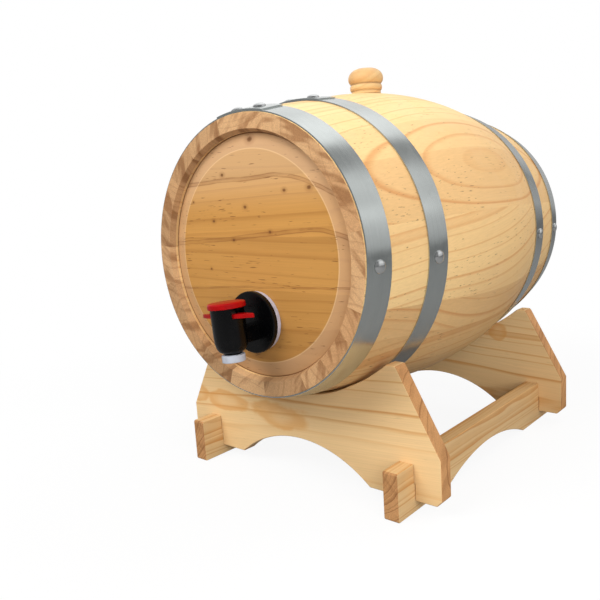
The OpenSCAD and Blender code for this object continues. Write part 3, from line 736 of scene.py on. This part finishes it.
def run_tree(piece, tree, values):
    """Runs a geometry tree on an object and leaves a plain mesh."""
    growth = piece.modifiers.new(tree.name, "NODES")
    growth.node_group = tree
    for item in tree.interface.items_tree:
        if item.item_type == "SOCKET" and item.in_out == "INPUT" and item.name in values:
            growth[item.identifier] = values[item.name]
    bpy.context.view_layer.update()
    mesh = evaluated_mesh(piece)
    piece.modifiers.remove(growth)
    piece.data = mesh
    if not mesh.polygons:
        raise RuntimeError(f"{tree.name} made no faces for {piece.name}")
    work = bmesh.new()
    work.from_mesh(mesh)
    bmesh.ops.remove_doubles(work, verts=work.verts, dist=WELD)
    bmesh.ops.recalc_face_normals(work, faces=work.faces)
    work.to_mesh(mesh)
    work.free()
    return piece


# ---------------------------------------------------------------- geometry trees

def then(geometry, kind, inputs=None, **settings):
    """The next node in a row of geometry nodes; gives its geometry."""
    return node(geometry.id_data, kind, {"Geometry": geometry, **(inputs or {})}, **settings).outputs[0]


def stored(geometry, name, value, data_type):
    """Stores a value on the points of a geometry; gives the geometry."""
    return then(geometry, "GeometryNodeStoreNamedAttribute", {"Name": name, "Value": value},
                data_type=data_type, domain="POINT")


def recalled(tree, name, data_type):
    """A value that was stored under a name."""
    return node(tree, "GeometryNodeInputNamedAttribute", {"Name": name}, data_type=data_type).outputs[0]


def swept_section_tree():
    """Sweeps a closed section about the cask's axis, as for a stave, a hoop or a ring."""
    if "Swept Section" in bpy.data.node_groups:
        return bpy.data.node_groups["Swept Section"]
    tree, given, out = new_group(
        "Swept Section", "GeometryNodeTree",
        {"Section": "Geometry", "First Angle": 0.0, "Sweep": 1.0, "Steps": 16, "Closed Ends": True,
         "Axis Place": "Vector", "Material": "Material"}, ("Geometry",))
    path = node(tree, "GeometryNodeCurveArc", {
        "Resolution": plus(given["Steps"], 1.0), "Radius": 1.0,
        "Start Angle": given["First Angle"], "Sweep Angle": given["Sweep"]}, mode="RADIUS").outputs["Curve"]
    # Each point of the path keeps its angle, and each point of the section its place
    part = over(node(tree, "GeometryNodeInputIndex").outputs[0], given["Steps"])
    path = stored(path, "sweep_angle", times_plus(part, given["Sweep"], given["First Angle"]), "FLOAT")
    ring = node(tree, "GeometryNodeMeshToCurve", {"Mesh": given["Section"]}).outputs[0]
    ring = stored(ring, "section_place", node(tree, "GeometryNodeInputPosition").outputs[0], "FLOAT_VECTOR")
    body = node(tree, "GeometryNodeCurveToMesh", {
        "Curve": path, "Profile Curve": ring, "Fill Caps": given["Closed Ends"]}).outputs[0]
    # The sweep's own tangents are those of its short straight steps, so every point is set on its true circle
    angle = recalled(tree, "sweep_angle", "FLOAT")
    place = split(recalled(tree, "section_place", "FLOAT_VECTOR"))
    round_axis = joined(times(place["X"], maths("COSINE", angle)), times(place["X"], maths("SINE", angle)),
                        times(place["Y"], -1.0))
    body = then(body, "GeometryNodeSetPosition", {"Position": round_axis})
    for label in ("sweep_angle", "section_place"):
        body = then(body, "GeometryNodeRemoveAttribute", {"Name": label})
    body = then(body, "GeometryNodeMergeByDistance", {"Distance": WELD})
    body = then(body, "GeometryNodeTransform", {
        "Translation": given["Axis Place"], "Rotation": (math.pi / 2, 0, 0)})
    body = then(body, "GeometryNodeRealizeInstances")
    feed(out, {"Geometry": then(body, "GeometryNodeSetMaterial", {"Material": given["Material"]})})
    return tree


def domed_stud_tree():
    """Sets a domed stud on every point, square to the surface given by the point's normal."""
    tree, given, out = new_group(
        "Domed Studs", "GeometryNodeTree",
        {"Points": "Geometry", "Radius": 0.0045, "Height": 0.002, "Unevenness": 0.05, "Seed": 4,
         "Material": "Material"}, ("Geometry",))
    ball = node(tree, "GeometryNodeMeshUVSphere", {"Segments": 28, "Rings": 14, "Radius": 1.0}).outputs["Mesh"]
    size = joined(given["Radius"], given["Radius"], given["Height"])
    turned = node(tree, "FunctionNodeAlignRotationToVector", {
        "Vector": recalled(tree, "facing", "FLOAT_VECTOR")}, axis="Z").outputs[0]
    uneven = node(tree, "FunctionNodeRandomValue", {
        2: less(1.0, given["Unevenness"]), 3: plus(1.0, given["Unevenness"]), "Seed": given["Seed"]},
        data_type="FLOAT").outputs[1]
    body = node(tree, "GeometryNodeInstanceOnPoints", {
        "Points": given["Points"], "Instance": then(ball, "GeometryNodeTransform", {"Scale": size}),
        "Rotation": turned, "Scale": uneven}).outputs[0]
    body = then(body, "GeometryNodeRealizeInstances")
    feed(out, {"Geometry": then(body, "GeometryNodeSetMaterial", {"Material": given["Material"]})})
    return tree


# ---------------------------------------------------------------- the cask's own curves

# The fuller middle of a stave ends this far short of the second hoops, and stands this proud of the plain arc
SWELL_GAP, SWELL_STEP = 0.1 * MM, 0.15 * MM

# Inside a stave's end: the wood between the head's face and its groove, the flat behind it, and the slope
HEAD_FACE, LAND, SLOPE = 2.2 * MM, 4 * MM, 4 * MM


def belly_arc():
    """Radius of the stave face's arc and how far its centre lies from the cask's axis."""
    s = cask()
    half = s.cask_length / 2
    arc = (half * half + s.belly * s.belly) / (2 * s.belly)
    return arc, s.end_radius + s.belly - arc


def face_radius(along, under=0.0):
    """Radius of the stave face, or of a surface under it, at a place along the cask."""
    arc, centre = belly_arc()
    return centre + math.sqrt((arc - under) ** 2 - along * along)


def swell_half():
    """Half the length of the fuller middle, which ends just short of the second hoops."""
    s = cask()
    return s.cask_length / 2 - s.hoop_inset - s.hoop_width - SWELL_GAP


def outer_radius(along):
    """Radius of the staves outside, with the swell between the two middle hoops."""
    zone = swell_half()
    if abs(along) > zone:
        return face_radius(along)
    crest = face_radius(0) + cask().swell
    sag = crest - face_radius(zone) - SWELL_STEP
    arc = (zone * zone + sag * sag) / (2 * sag)
    return crest - arc + math.sqrt(arc * arc - along * along)


def on_cask(radius, angle, along):
    """A point at a radius, an angle from the right-hand side upwards, and a distance towards the front."""
    return Vector((radius * math.cos(angle), MIDDLE_Y - along, AXIS_Z + radius * math.sin(angle)))


def section_object(name, outline):
    """An object that holds a closed outline of (radius, along) points as one face."""
    mesh = bpy.data.meshes.new(name)
    mesh.from_pydata([(r, -z, 0.0) for r, z in outline], [], [tuple(range(len(outline)))])
    return new_object(name, mesh)


def stave_outline(shoulder_steps=14, middle_steps=40, inner_steps=28):
    """Outline of a stave from end to end, with the chimes and the grooves for the heads."""
    s = cask()
    half = s.cask_length / 2
    neck = s.end_radius - s.chime_thickness
    tongue = s.head_recess + HEAD_FACE
    land = tongue + s.groove_width + LAND
    zone = swell_half()
    shoulder = [-half + (half - zone) * i / shoulder_steps for i in range(shoulder_steps + 1)]
    middle = [-zone + 2 * zone * i / middle_steps for i in range(middle_steps + 1)]
    outer = ([(face_radius(z), z) for z in shoulder] + [(outer_radius(z), z) for z in middle]
             + [(face_radius(-z), -z) for z in reversed(shoulder)])
    end = [(neck + s.chime_bevel, half), (neck, half - s.head_recess), (neck, half - tongue),
           (neck + s.groove_depth, half - tongue), (neck + s.groove_depth, half - tongue - s.groove_width),
           (neck, half - tongue - s.groove_width), (neck, half - land)]
    reach = half - land - SLOPE
    inside = [reach * (1 - 2 * i / inner_steps) for i in range(inner_steps + 1)]
    inner = [(face_radius(z, s.stave_thickness), z) for z in inside]
    return outer + end + inner + [(r, -z) for r, z in reversed(end)]


def hoop_places():
    """Distance of each hoop's middle in front of the cask's middle."""
    s = cask()
    half = s.cask_length / 2
    first = half - s.hoop_edge - s.hoop_width / 2
    second = half - s.hoop_inset - s.hoop_width / 2
    return first, second, -second, -first


def band_outline(middle, low, high, steps=8):
    """Outline of a band that lies on the stave face between two heights above it."""
    half = cask().hoop_width / 2
    places = [middle - half + 2 * half * i / steps for i in range(steps + 1)]
    return [(face_radius(z) + high, z) for z in places] + [(face_radius(z) + low, z) for z in reversed(places)]


def swept_piece(name, outline, first, sweep, steps, material, closed=True, at=(0.0, MIDDLE_Y, AXIS_Z)):
    """A plain mesh swept from an outline, about the cask's axis unless another place is given."""
    return run_tree(section_object(name, outline), swept_section_tree(), {
        "First Angle": first, "Sweep": sweep, "Steps": steps, "Closed Ends": closed, "Axis Place": at,
        "Material": bpy.data.materials[material]})


# ---------------------------------------------------------------- operators

class CASK_OT_bend_staves(bpy.types.Operator):
    """Sweeps the eighteen staves from one outline and gives each the grain of its own log"""
    bl_idname = "cask.bend_staves"
    bl_label = "Bend the staves"

    # Angles of the joints between the staves, in degrees from the right-hand side upwards
    joints = (11, 35, 50, 77, 103, 125, 142, 158, 175, 193, 213, 232, 252, 273, 297, 312, 328, 341, 371)

    # The first staves were sawn side by side from one board, and share the frame at this angle
    shared_staves, shared_angle = 3, 27
    # The third and fourth staves, at the top, are paler partly in their own wood and partly as painted light
    # from above; the other shades differ from board to board
    logs = (
        Log(8, -42, 10, 0, 1.9, 0.26, 0.99), Log(8, -42, 10, 0, 1.9, 0.1, 1.02),
        Log(8, -42, 10, 0, 1.9, 0.0, 1.05), Log(6, -70, 20, -20, 1.1, 0.0, 1.07),
        Log(-38, 42, -40, 10, 1.0, 0.1, 0.9), Log(30, -38, 30, 0, 0.8, 0.15, 0.84),
        Log(40, 30, -50, 0, 1.0, 0.2, 0.93), Log(-6, -75, 10, 30, 1.0, 0.1, 0.82),
        Log(-40, 36, 60, 0, 1.1, 0.0, 0.98), Log(30, 45, -20, 0, 1.0, 0.15, 0.84),
        Log(-28, -40, 30, 0, 0.9, 0.2, 0.93), Log(36, 30, 50, 0, 1.2, 0.1, 0.8),
        Log(0, -66, -30, 20, 1.0, 0.0, 0.95), Log(-34, 40, 40, 0, 1.0, 0.2, 0.78),
        Log(30, 34, 20, 0, 1.1, 0.2, 0.93), Log(-32, -40, -40, 0, 1.2, 0.35, 0.94),
        Log(-26, 36, 20, 0, 1.3, 0.4, 0.93), Log(-50, 34, -150, 0, 1.7, 0.08, 1.02),
    )

    # Turn of one step of the sweep, in radians, and how far each stave is moved along its log, in metres
    step_angle, log_shift = 0.035, 0.7

    def execute(self, context):
        make_finishes()
        outline = stave_outline()
        for i, log in enumerate(self.logs):
            first, last = (math.radians(a) for a in self.joints[i:i + 2])
            name = f"stave_{i + 1:02d}"
            piece = swept_piece("bent_" + name, outline, first, last - first,
                                max(6, round((last - first) / self.step_angle)), "Stave Pine")
            if first < math.pi / 2 < last:
                self.drill_bung_hole(piece)
            middle = math.radians(self.shared_angle) if i < self.shared_staves else (first + last) / 2
            out = Vector((math.cos(middle), 0, math.sin(middle)))
            give_grain(piece, on_cask(outer_radius(0), middle, 0), (-math.sin(middle), 0, math.cos(middle)),
                       FRONT, out, log, self.log_shift * max(i, self.shared_staves))
            self.brown_the_chimes(piece)
            coat(soften(piece, cask().wood_edge, crease=15), "Stave Pine")
            settle(piece, "cask", "stave_pine", name)
        return {"FINISHED"}

    def brown_the_chimes(self, piece):
        """Lets the inside of each chime drink the finish as a cut end does."""
        s = cask()
        reach = s.cask_length / 2 - s.head_recess - 1 * MM
        cuts = piece.data.attributes["end_grain"].data
        for face in piece.data.polygons:
            spoke = Vector((face.center.x, 0, face.center.z - AXIS_Z))
            if abs(face.center.y - MIDDLE_Y) > reach and face.normal.dot(spoke) < 0:
                cuts[face.index].value = 1.0

    def drill_bung_hole(self, piece, taper=0.08, overrun=4 * MM):
        """Cuts the tapered hole under the bung, with a drill that reaches past the wood at both ends."""
        s = cask()
        depth = s.stave_thickness + s.swell + 4 * MM
        middle = AXIS_Z + outer_radius(0) - depth / 2 + overrun / 2
        drill = bmesh.new()
        bmesh.ops.create_cone(drill, cap_ends=True, segments=64, radius1=s.bung_hole - depth * taper,
                              radius2=s.bung_hole + overrun * taper, depth=depth + overrun,
                              matrix=Matrix.Translation((BUNG.x, BUNG.y, middle)))
        mesh = bpy.data.meshes.new("bung_drill")
        drill.to_mesh(mesh)
        drill.free()
        tool = new_object("bung_drill", mesh)
        cut = piece.modifiers.new("Bung hole", "BOOLEAN")
        cut.object = tool
        cut.operation = "DIFFERENCE"
        cut.solver = "EXACT"
        bpy.context.view_layer.update()
        whole = len(piece.data.polygons)
        mesh = evaluated_mesh(piece)
        piece.modifiers.remove(cut)
        piece.data = mesh
        bpy.data.objects.remove(tool)
        if len(mesh.polygons) <= whole:
            raise RuntimeError("the bung hole was not cut")


class CASK_OT_fit_heads(bpy.types.Operator):
    """Finishes the boards of the front head, the rear ring and the door"""
    bl_idname = "cask.fit_heads"
    bl_label = "Fit the heads and the door"

    boards = {
        "head_board_1": Log(38, 34, -30, 0, 1, 0.0, 1.07), "head_board_2": Log(-46, 26, 25, 0, 1, 0.0, 1.01),
        "head_board_3": Log(48, 24, -20, 0, 1, 0.1, 0.95), "head_board_4": Log(-44, 30, 30, 0, 1, 0.08, 0.96),
        "head_board_5": Log(36, 26, 15, 0, 1, 0.3, 0.97),
    }
    door_boards = {"door_board_1": Log(40, 30, 30, 0, 1, 0.3), "door_board_2": Log(-6, -60, 10, 0, 1, 0.45),
                   "door_board_3": Log(-42, 28, -20, 0, 1, 0.35)}

    def execute(self, context):
        make_finishes()
        for i, (name, log) in enumerate(self.boards.items()):
            self.plane(name, "jointed_", (UP, RIGHT, FRONT), log, 0.5 * i, "cask", "Head Pine")
        for i, (name, log) in enumerate(self.door_boards.items()):
            self.plane(name, "planed_", (RIGHT, UP, BACK), log, 9 + 0.5 * i, "door")
        self.plane("rear_ring", "turned_", (UP, RIGHT, BACK), Log(120, 50, 0, 0, 1, 0.3), 15, "cask")
        self.plane("door_batten", "planed_", (UP, RIGHT, FRONT), Log(30, 40), 12, "door", "Cradle Pine",
                   "cradle_pine")
        return {"FINISHED"}

    def plane(self, name, prefix, ways, log, shift, body, material="Door Pine", slot="head_pine"):
        """Finishes one board in place of its node."""
        piece = copy_of(name, prefix + name)
        give_grain(piece, centre_of(name), *ways, log, shift)
        settle(coat(soften(piece, cask().wood_edge, crease=7), material), body, slot, name)


class CASK_OT_drive_hoops(bpy.types.Operator):
    """Rolls the four hoops with their overlaps"""
    bl_idname = "cask.drive_hoops"
    bl_label = "Drive the hoops"

    # Steps of the sweep round a hoop and along its overlap, and the rounding of the edges
    hoop_steps, lap_steps, edge = 144, 12, 0.25 * MM

    def execute(self, context):
        make_finishes()
        s, steel = cask(), "Hoop Steel"
        thick = s.hoop_thickness
        for i, place in enumerate(hoop_places()):
            name = f"hoop_{i + 1}"
            band = swept_piece("rolled_" + name, band_outline(place, 0.0, thick),
                               s.lap_start + s.lap_sweep / 2, 2 * math.pi, self.hoop_steps, steel, closed=False)
            lap = swept_piece("lap", band_outline(place, thick / 2, 2 * thick),
                              s.lap_start, s.lap_sweep, self.lap_steps, steel)
            work = bmesh.new()
            work.from_mesh(band.data)
            work.from_mesh(lap.data)
            work.to_mesh(band.data)
            work.free()
            bpy.data.objects.remove(lap)
            settle(coat(soften(band, self.edge), steel), "cask", "hoop_steel", name)
        return {"FINISHED"}


class CASK_OT_set_studs(bpy.types.Operator):
    """Sets the domed heads of the side nails and the lap rivets"""
    bl_idname = "cask.set_studs"
    bl_label = "Set the studs"

    # Where the two rivets sit along an overlap
    rivet_parts = (0.26, 0.75)

    def execute(self, context):
        make_finishes()
        s = cask()
        arc, _ = belly_arc()
        nails = (s.nail_angle, math.pi - s.nail_angle)
        rivets = [s.lap_start + s.lap_sweep * part for part in self.rivet_parts]
        tree = domed_stud_tree()
        for name, angles, lift in (("hoop_nails", nails, 1), ("hoop_rivets", rivets, 2)):
            spots, ways = [], []
            for place in hoop_places():
                lean = math.asin(place / arc)
                for angle in angles:
                    level = math.cos(lean)
                    way = Vector((math.cos(angle) * level, -math.sin(lean), math.sin(angle) * level))
                    spots.append(on_cask(face_radius(place), angle, place) + way * s.hoop_thickness * lift)
                    ways.append(way)
            mesh = bpy.data.meshes.new("domed_" + name)
            mesh.from_pydata(spots, [], [])
            facing = mesh.attributes.new("facing", "FLOAT_VECTOR", "POINT")
            for item, way in zip(facing.data, ways):
                item.vector = way
            piece = new_object("domed_" + name, mesh)
            run_tree(piece, tree, {"Radius": s.stud_radius, "Height": s.stud_height,
                                   "Material": bpy.data.materials["Stud Steel"]})
            settle(coat(smooth(piece), "Stud Steel"), "cask", "stud_steel", name)
        return {"FINISHED"}


class CASK_OT_turn_bung(bpy.types.Operator):
    """Finishes the turned bung"""
    bl_idname = "cask.turn_bung"
    bl_label = "Turn the bung"

    def execute(self, context):
        make_finishes()
        piece = copy_of("bung", "turned_bung")
        give_grain(piece, BUNG, UP, RIGHT, FRONT, Log(-60, 40, 100, 50, 1, 0.14, 0.87), 17, ends=False)
        settle(coat(soften(piece, 0.2 * MM, angle=28), "Bung Pine"), "bung", "stave_pine", "bung")
        return {"FINISHED"}


class CASK_OT_mould_tap(bpy.types.Operator):
    """Finishes the moulded pieces of the tap, its gland and its collar"""
    bl_idname = "cask.mould_tap"
    bl_label = "Mould the tap"

    # Body, slot, material and how round the edges are
    pieces = {
        "tap_body": ("tap", "black_plastic", "Black Plastic", 1.0),
        "tap_cap": ("tap", "red_plastic", "Red Plastic", 1.2),
        "outlet_ring": ("tap", "white_plastic", "Clear Plastic", 1.0),
        "lever": ("lever", "red_plastic", "Red Plastic", 3.2),
        "gland": ("cask", "white_plastic", "White Plastic", 1.0),
        "gland_collar": ("cask", "white_plastic", "White Plastic", 1.4),
    }

    # Outline of the return dome: radius, the level that it is measured from, and the height above that level
    dome = ((6.3, "foot", 0), (6.3, "foot", 0.6), (6.1, "waist", 0), (5.2, "middle", -0.6), (4.1, "top", -1.7),
            (3.7, "top", -1.0), (3.7, "top", 0), (2.7, "top", 0), (2.7, "top", -1.5), (4.2, "middle", -0.8),
            (5.2, "waist", -0.2), (5.4, "foot", 0))

    def execute(self, context):
        make_finishes()
        for name, (body, slot, material, edge) in self.pieces.items():
            piece = copy_of(name, "moulded_" + name)
            settle(coat(soften(piece, cask().plastic_edge * edge, 3), material), body, slot, name)
        self.mould_dome(cask())
        return {"FINISHED"}

    def mould_dome(self, s):
        """The soft dome that pushes the lever down again, in one fixed shape; the real dome flattens under the
        cap as the lever lifts.
        """
        foot, top = s.dome_foot, s.dome_top
        waist = foot + 1.3 * MM
        levels = {"foot": foot, "waist": waist, "middle": (waist + top) / 2, "top": top}
        outline = [(radius * MM, levels[level] + rise * MM) for radius, level, rise in self.dome]
        piece = swept_piece("soft_return_dome", outline, 0.0, 2 * math.pi, 48, "Seal Rubber", closed=False,
                            at=(0.0, 0.0, 0.0))
        centre = Vector((GLAND.x, STAVE_LOW.y + s.head_recess - s.tap_reach, GLAND.z))
        stand = (Matrix.Translation(centre) @ Matrix.Rotation(-s.tap_lean, 4, "Y")
                 @ Matrix.Rotation(-math.pi / 2, 4, "X"))
        piece.data.transform(stand)
        settle(coat(soften(piece, 0.15 * MM), "Seal Rubber"), "tap", "seal_rubber", "return_dome")
        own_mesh(piece)


class CASK_OT_join_cradle(bpy.types.Operator):
    """Finishes the two boards and the two rails of the cradle"""
    bl_idname = "cask.join_cradle"
    bl_label = "Join the cradle"

    def execute(self, context):
        make_finishes()
        board, rail = (UP, RIGHT, FRONT), (UP, BACK, RIGHT)
        for name, ways, log, shift in (
                ("cradle_board_front", board, Log(-34, 30, 85, 0, 1.25, 0.04, 0.98), 20.0),
                ("cradle_board_rear", board, Log(-34, 30, -60, 0, 1.0, 0.12, 0.96), 22.0),
                ("cradle_rail_left", rail, Log(26, 30, 12, 0, 0.42, 0.1, 0.87), 24.0),
                ("cradle_rail_right", rail, Log(28, 32, -14, 0, 0.42, 0.1, 0.87), 26.0)):
            piece = copy_of(name, "sanded_" + name)
            give_grain(piece, centre_of(name), *ways, log, shift)
            settle(coat(soften(piece, cask().cradle_edge, 3), "Cradle Pine"), "cradle", "cradle_pine", name)
        return {"FINISHED"}


class CASK_OT_fill_bag(bpy.types.Operator):
    """Swells the film of the bag inside the cask and creases it"""
    bl_idname = "cask.fill_bag"
    bl_label = "Fill the bag"

    # How hard and for how many frames the film is blown, and how far it stays inside its space
    pressure, frames, margin = 4, 20, 0.4 * MM

    # How many folds in a metre and how strong they are, and how narrow
    folds, narrow = ((38, 1.0), (95, 0.45)), 2.2

    def execute(self, context):
        make_finishes()
        s = cask()
        bag = copy_of("bag", "filled_bag")
        space = bmesh.new()
        space.from_mesh(bag.data)
        walls = BVHTree.FromBMesh(space)
        space.free()
        even = bag.modifiers.new("Even mesh", "REMESH")
        even.mode = "VOXEL"
        even.voxel_size = s.bag_mesh
        mesh = evaluated_mesh(bag)
        bag.modifiers.remove(even)
        bag.data = mesh
        for vertex, way in [(v, v.normal.copy()) for v in mesh.vertices]:
            vertex.co -= way * s.bag_slack
        self.swell(context, bag, s.bag_travel)
        self.crease(bag, walls, s.bag_crease)
        smooth(bag)
        round_off = bag.modifiers.new("Smooth film", "SUBSURF")
        round_off.levels = round_off.render_levels = 1
        settle(coat(bag, "Bag Film"), "cask", "bag_film", "bag")
        return {"FINISHED"}

    def swell(self, context, bag, travel):
        """Blows the slack film up a little, and holds each point to the distance it may travel."""
        film = bag.modifiers.new("Film", "CLOTH")
        film.settings.use_pressure = True
        film.settings.uniform_pressure_force = self.pressure
        film.settings.effector_weights.gravity = 0
        for step in range(1, self.frames + 1):
            context.scene.frame_set(step)
        blown = evaluated_mesh(bag)
        bag.modifiers.remove(film)
        for vertex, there in zip(bag.data.vertices, blown.vertices):
            way = there.co - vertex.co
            vertex.co += way * min(1.0, travel / max(way.length, 1e-9))
        bpy.data.meshes.remove(blown)
        context.scene.frame_set(1)

    def crease(self, bag, walls, depth):
        """Presses creases into the film and keeps it clear of the space that it may fill."""
        bag.data.update()
        for vertex, way in [(v, v.normal.copy()) for v in bag.data.vertices]:
            fold = sum(part * abs(noise.noise(vertex.co * often)) for often, part in self.folds)
            at = vertex.co - way * depth * (1 - min(1.0, fold * self.narrow))
            spot, outward, _, _ = walls.find_nearest(at)
            if (at - spot).dot(outward) > -self.margin:
                at = spot - outward * self.margin
            vertex.co = at


class CASK_OT_dress_inner_parts(bpy.types.Operator):
    """Gives the hidden seals, dowels and screws their finish"""
    bl_idname = "cask.dress_inner_parts"
    bl_label = "Dress the inner parts"

    def execute(self, context):
        make_finishes()
        for name, material in (("tap_seal", "Seal Rubber"), ("valve_seal", "Seal Rubber"),
                               ("door_screws", "Stud Steel"), ("head_dowels", "Dowel Pine")):
            coat(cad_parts[name], material)
        return {"FINISHED"}


class CASK_OT_light_stage(bpy.types.Operator):
    """Sets up the white floor, the soft lights and the camera"""
    bl_idname = "cask.light_stage"
    bl_label = "Light the stage"

    # The floor: the grey that lights the wood, the grey that is seen, and how much of it is plain white from
    # the first distance to the second
    lit_grey, seen_grey = 0.22, 0.8
    fade, least_white = (0.26, 0.62), 0.91

    # Place, height that it is aimed at, and width of each lamp
    lamps = {"key": ((-0.3, -1.05, 1.1), 0.15, 0.8), "fill": ((1.12, -0.7, 0.62), 0.16, 0.9),
             "back": ((0.35, 0.8, 1.2), 0.2, 0.8)}

    # What polished steel sees round the cask: turn from the right-hand side upwards, in degrees, and level
    room = ((-180, 1.0), (-140, 0.6), (-95, 0.15), (-50, 0.38), (-30, 0.36), (0, 0.62), (15, 0.72), (24, 1.1),
            (32, 0.8), (50, 0.95), (62, 0.42), (76, 0.42), (84, 1.35), (105, 1.35), (118, 1.05), (180, 1.0))

    def execute(self, context):
        studio = context.scene.cask_studio
        self.lay_floor(studio)
        self.hang_lights(studio)
        self.furnish_room(studio)
        self.set_camera(context, studio)
        context.scene.view_settings.view_transform = "Standard"
        return {"FINISHED"}

    def lay_floor(self, studio):
        """A white floor that keeps the cask's shadow and fades to plain white."""
        h = studio.floor_half
        mesh = bpy.data.meshes.new("studio_floor")
        mesh.from_pydata([(-h, -h, 0), (h, -h, 0), (h, h, 0), (-h, h, 0)], [], [(0, 1, 2, 3)])
        floor = new_object("studio_floor", mesh)
        made = bpy.data.materials.new("Studio Floor")
        tree = bare_tree(made)
        path = node(tree, "ShaderNodeLightPath").outputs
        seen = maths("MAXIMUM", path["Is Camera Ray"], path["Is Transmission Ray"])
        # The cask is lit by a grey floor, so that its underside stays dark
        matt = node(tree, "ShaderNodeBsdfDiffuse", {
            "Color": blend(seen, (self.lit_grey,) * 3, (self.seen_grey,) * 3)})
        lamp = node(tree, "ShaderNodeEmission", {"Color": (1, 1, 1, 1), "Strength": 1.0})
        # White far away; near the cask the matt floor keeps its shadow, and polished steel sees a greyer floor
        away = vectors("LENGTH", node(tree, "ShaderNodeTexCoord").outputs["Object"])
        white = maths("MAXIMUM", times(seen, ramp(away, *self.fade, self.least_white, 1.0)),
                      times(path["Is Glossy Ray"], 0.08))
        mix = node(tree, "ShaderNodeMixShader", {0: white, 1: matt.outputs[0], 2: lamp.outputs[0]})
        node(tree, "ShaderNodeOutputMaterial", {"Surface": mix.outputs[0]})
        mesh.materials.append(made)

    def hang_lights(self, studio):
        """A large light above, a softer one by the camera and one behind, which polished steel does not see."""
        for name, (place, aim, width) in self.lamps.items():
            lamp = bpy.data.lights.new(name + "_light", "AREA")
            lamp.shape = "RECTANGLE"
            lamp.size = lamp.size_y = width
            lamp.energy = getattr(studio, name)
            holder = new_object(name + "_light", lamp)
            holder.location = place
            holder.rotation_euler = (Vector((0, 0, aim)) - Vector(place)).to_track_quat("-Z", "Y").to_euler()
            holder.visible_glossy = False

    def furnish_room(self, studio):
        """A plain white room for the wood, and soft boxes with dark gaps for the steel."""
        world = bpy.data.worlds.new("Studio Room")
        bpy.context.scene.world = world
        tree = bare_tree(world)
        path = node(tree, "ShaderNodeLightPath").outputs
        way = split(node(tree, "ShaderNodeTexCoord").outputs["Generated"])
        around = times_plus(maths("ARCTAN2", way["Z"], way["X"]), 0.5 / math.pi, 0.5)
        boxes = node(tree, "ShaderNodeValToRGB", {0: around})
        steps = boxes.color_ramp.elements
        for i, (angle, level) in enumerate(self.room):
            end = {0: 0, len(self.room) - 1: -1}.get(i)
            step = steps.new(angle / 360 + 0.5) if end is None else steps[end]
            step.color = (level, level, level, 1)
        # The front of the room is dark, and its far back is half as bright
        behind = times(ramp(way["Y"], -0.25, 0.25, 0.32, 1.0), ramp(way["Y"], 0.68, 0.92, 1.0, 0.5))
        boxes, plain, white = (
            node(tree, "ShaderNodeBackground", {"Color": tint, "Strength": strength}).outputs[0]
            for tint, strength in ((boxes.outputs[0], behind), ((1, 1, 1, 1), studio.sky), ((1, 1, 1, 1), 1.0)))
        mix = node(tree, "ShaderNodeMixShader", {0: path["Is Glossy Ray"], 1: plain, 2: boxes})
        seen = maths("MAXIMUM", path["Is Camera Ray"], path["Is Transmission Ray"])
        mix = node(tree, "ShaderNodeMixShader", {0: seen, 1: mix.outputs[0], 2: white})
        node(tree, "ShaderNodeOutputWorld", {"Surface": mix.outputs[0]})

    def set_camera(self, context, studio):
        """The camera at the place, turn and roll that were worked out for the view."""
        turned, tilt, roll = studio.camera_azimuth, studio.camera_elevation, studio.camera_roll
        back = Vector((math.sin(turned) * math.cos(tilt), -math.cos(turned) * math.cos(tilt), math.sin(tilt)))
        right = Vector((math.cos(turned), math.sin(turned), 0))
        up = back.cross(right)
        right, up = right * math.cos(roll) + up * math.sin(roll), up * math.cos(roll) - right * math.sin(roll)
        eye = bpy.data.cameras.new("view_camera")
        eye.lens = studio.lens
        eye.sensor_width = 36
        eye.clip_start = 0.01
        holder = new_object("view_camera", eye)
        turning = Matrix((right, up, back)).transposed().to_4x4()
        holder.matrix_world = Matrix.Translation(Vector(studio.camera_place)) @ turning
        context.scene.camera = holder


STEPS = (
    CASK_OT_bend_staves, CASK_OT_fit_heads, CASK_OT_drive_hoops, CASK_OT_set_studs, CASK_OT_turn_bung,
    CASK_OT_mould_tap, CASK_OT_join_cradle, CASK_OT_fill_bag, CASK_OT_dress_inner_parts, CASK_OT_light_stage,
)


class CASK_PT_workshop(bpy.types.Panel):
    """Lists the steps that make the cask and the values they use"""
    bl_idname = "CASK_PT_workshop"
    bl_label = "Cask"
    bl_space_type = "VIEW_3D"
    bl_region_type = "UI"
    bl_category = "Cask"

    def draw(self, context):
        for step in STEPS:
            self.layout.operator(step.bl_idname)
        for values in (context.scene.cask_sizes, context.scene.cask_finishes, context.scene.cask_studio):
            box = self.layout.box()
            for key in values.__annotations__:
                box.prop(values, key)


CLASSES = (CaskSizes, CaskFinishes, CaskStudio, *STEPS, CASK_PT_workshop)


def register():
    """Adds the classes and the values that they use to Blender."""
    for kind in CLASSES:
        bpy.utils.register_class(kind)
    bpy.types.Scene.cask_sizes = PointerProperty(type=CaskSizes)
    bpy.types.Scene.cask_finishes = PointerProperty(type=CaskFinishes)
    bpy.types.Scene.cask_studio = PointerProperty(type=CaskStudio)


def unregister():
    """Takes the classes and values out again."""
    del bpy.types.Scene.cask_studio
    del bpy.types.Scene.cask_finishes
    del bpy.types.Scene.cask_sizes
    for kind in reversed(CLASSES):
        bpy.utils.unregister_class(kind)


def main():
    """Makes every piece and the stage."""
    register()
    for step in STEPS:
        getattr(bpy.ops.cask, step.bl_idname.partition(".")[2])()


if __name__ == "__main__":
    main()
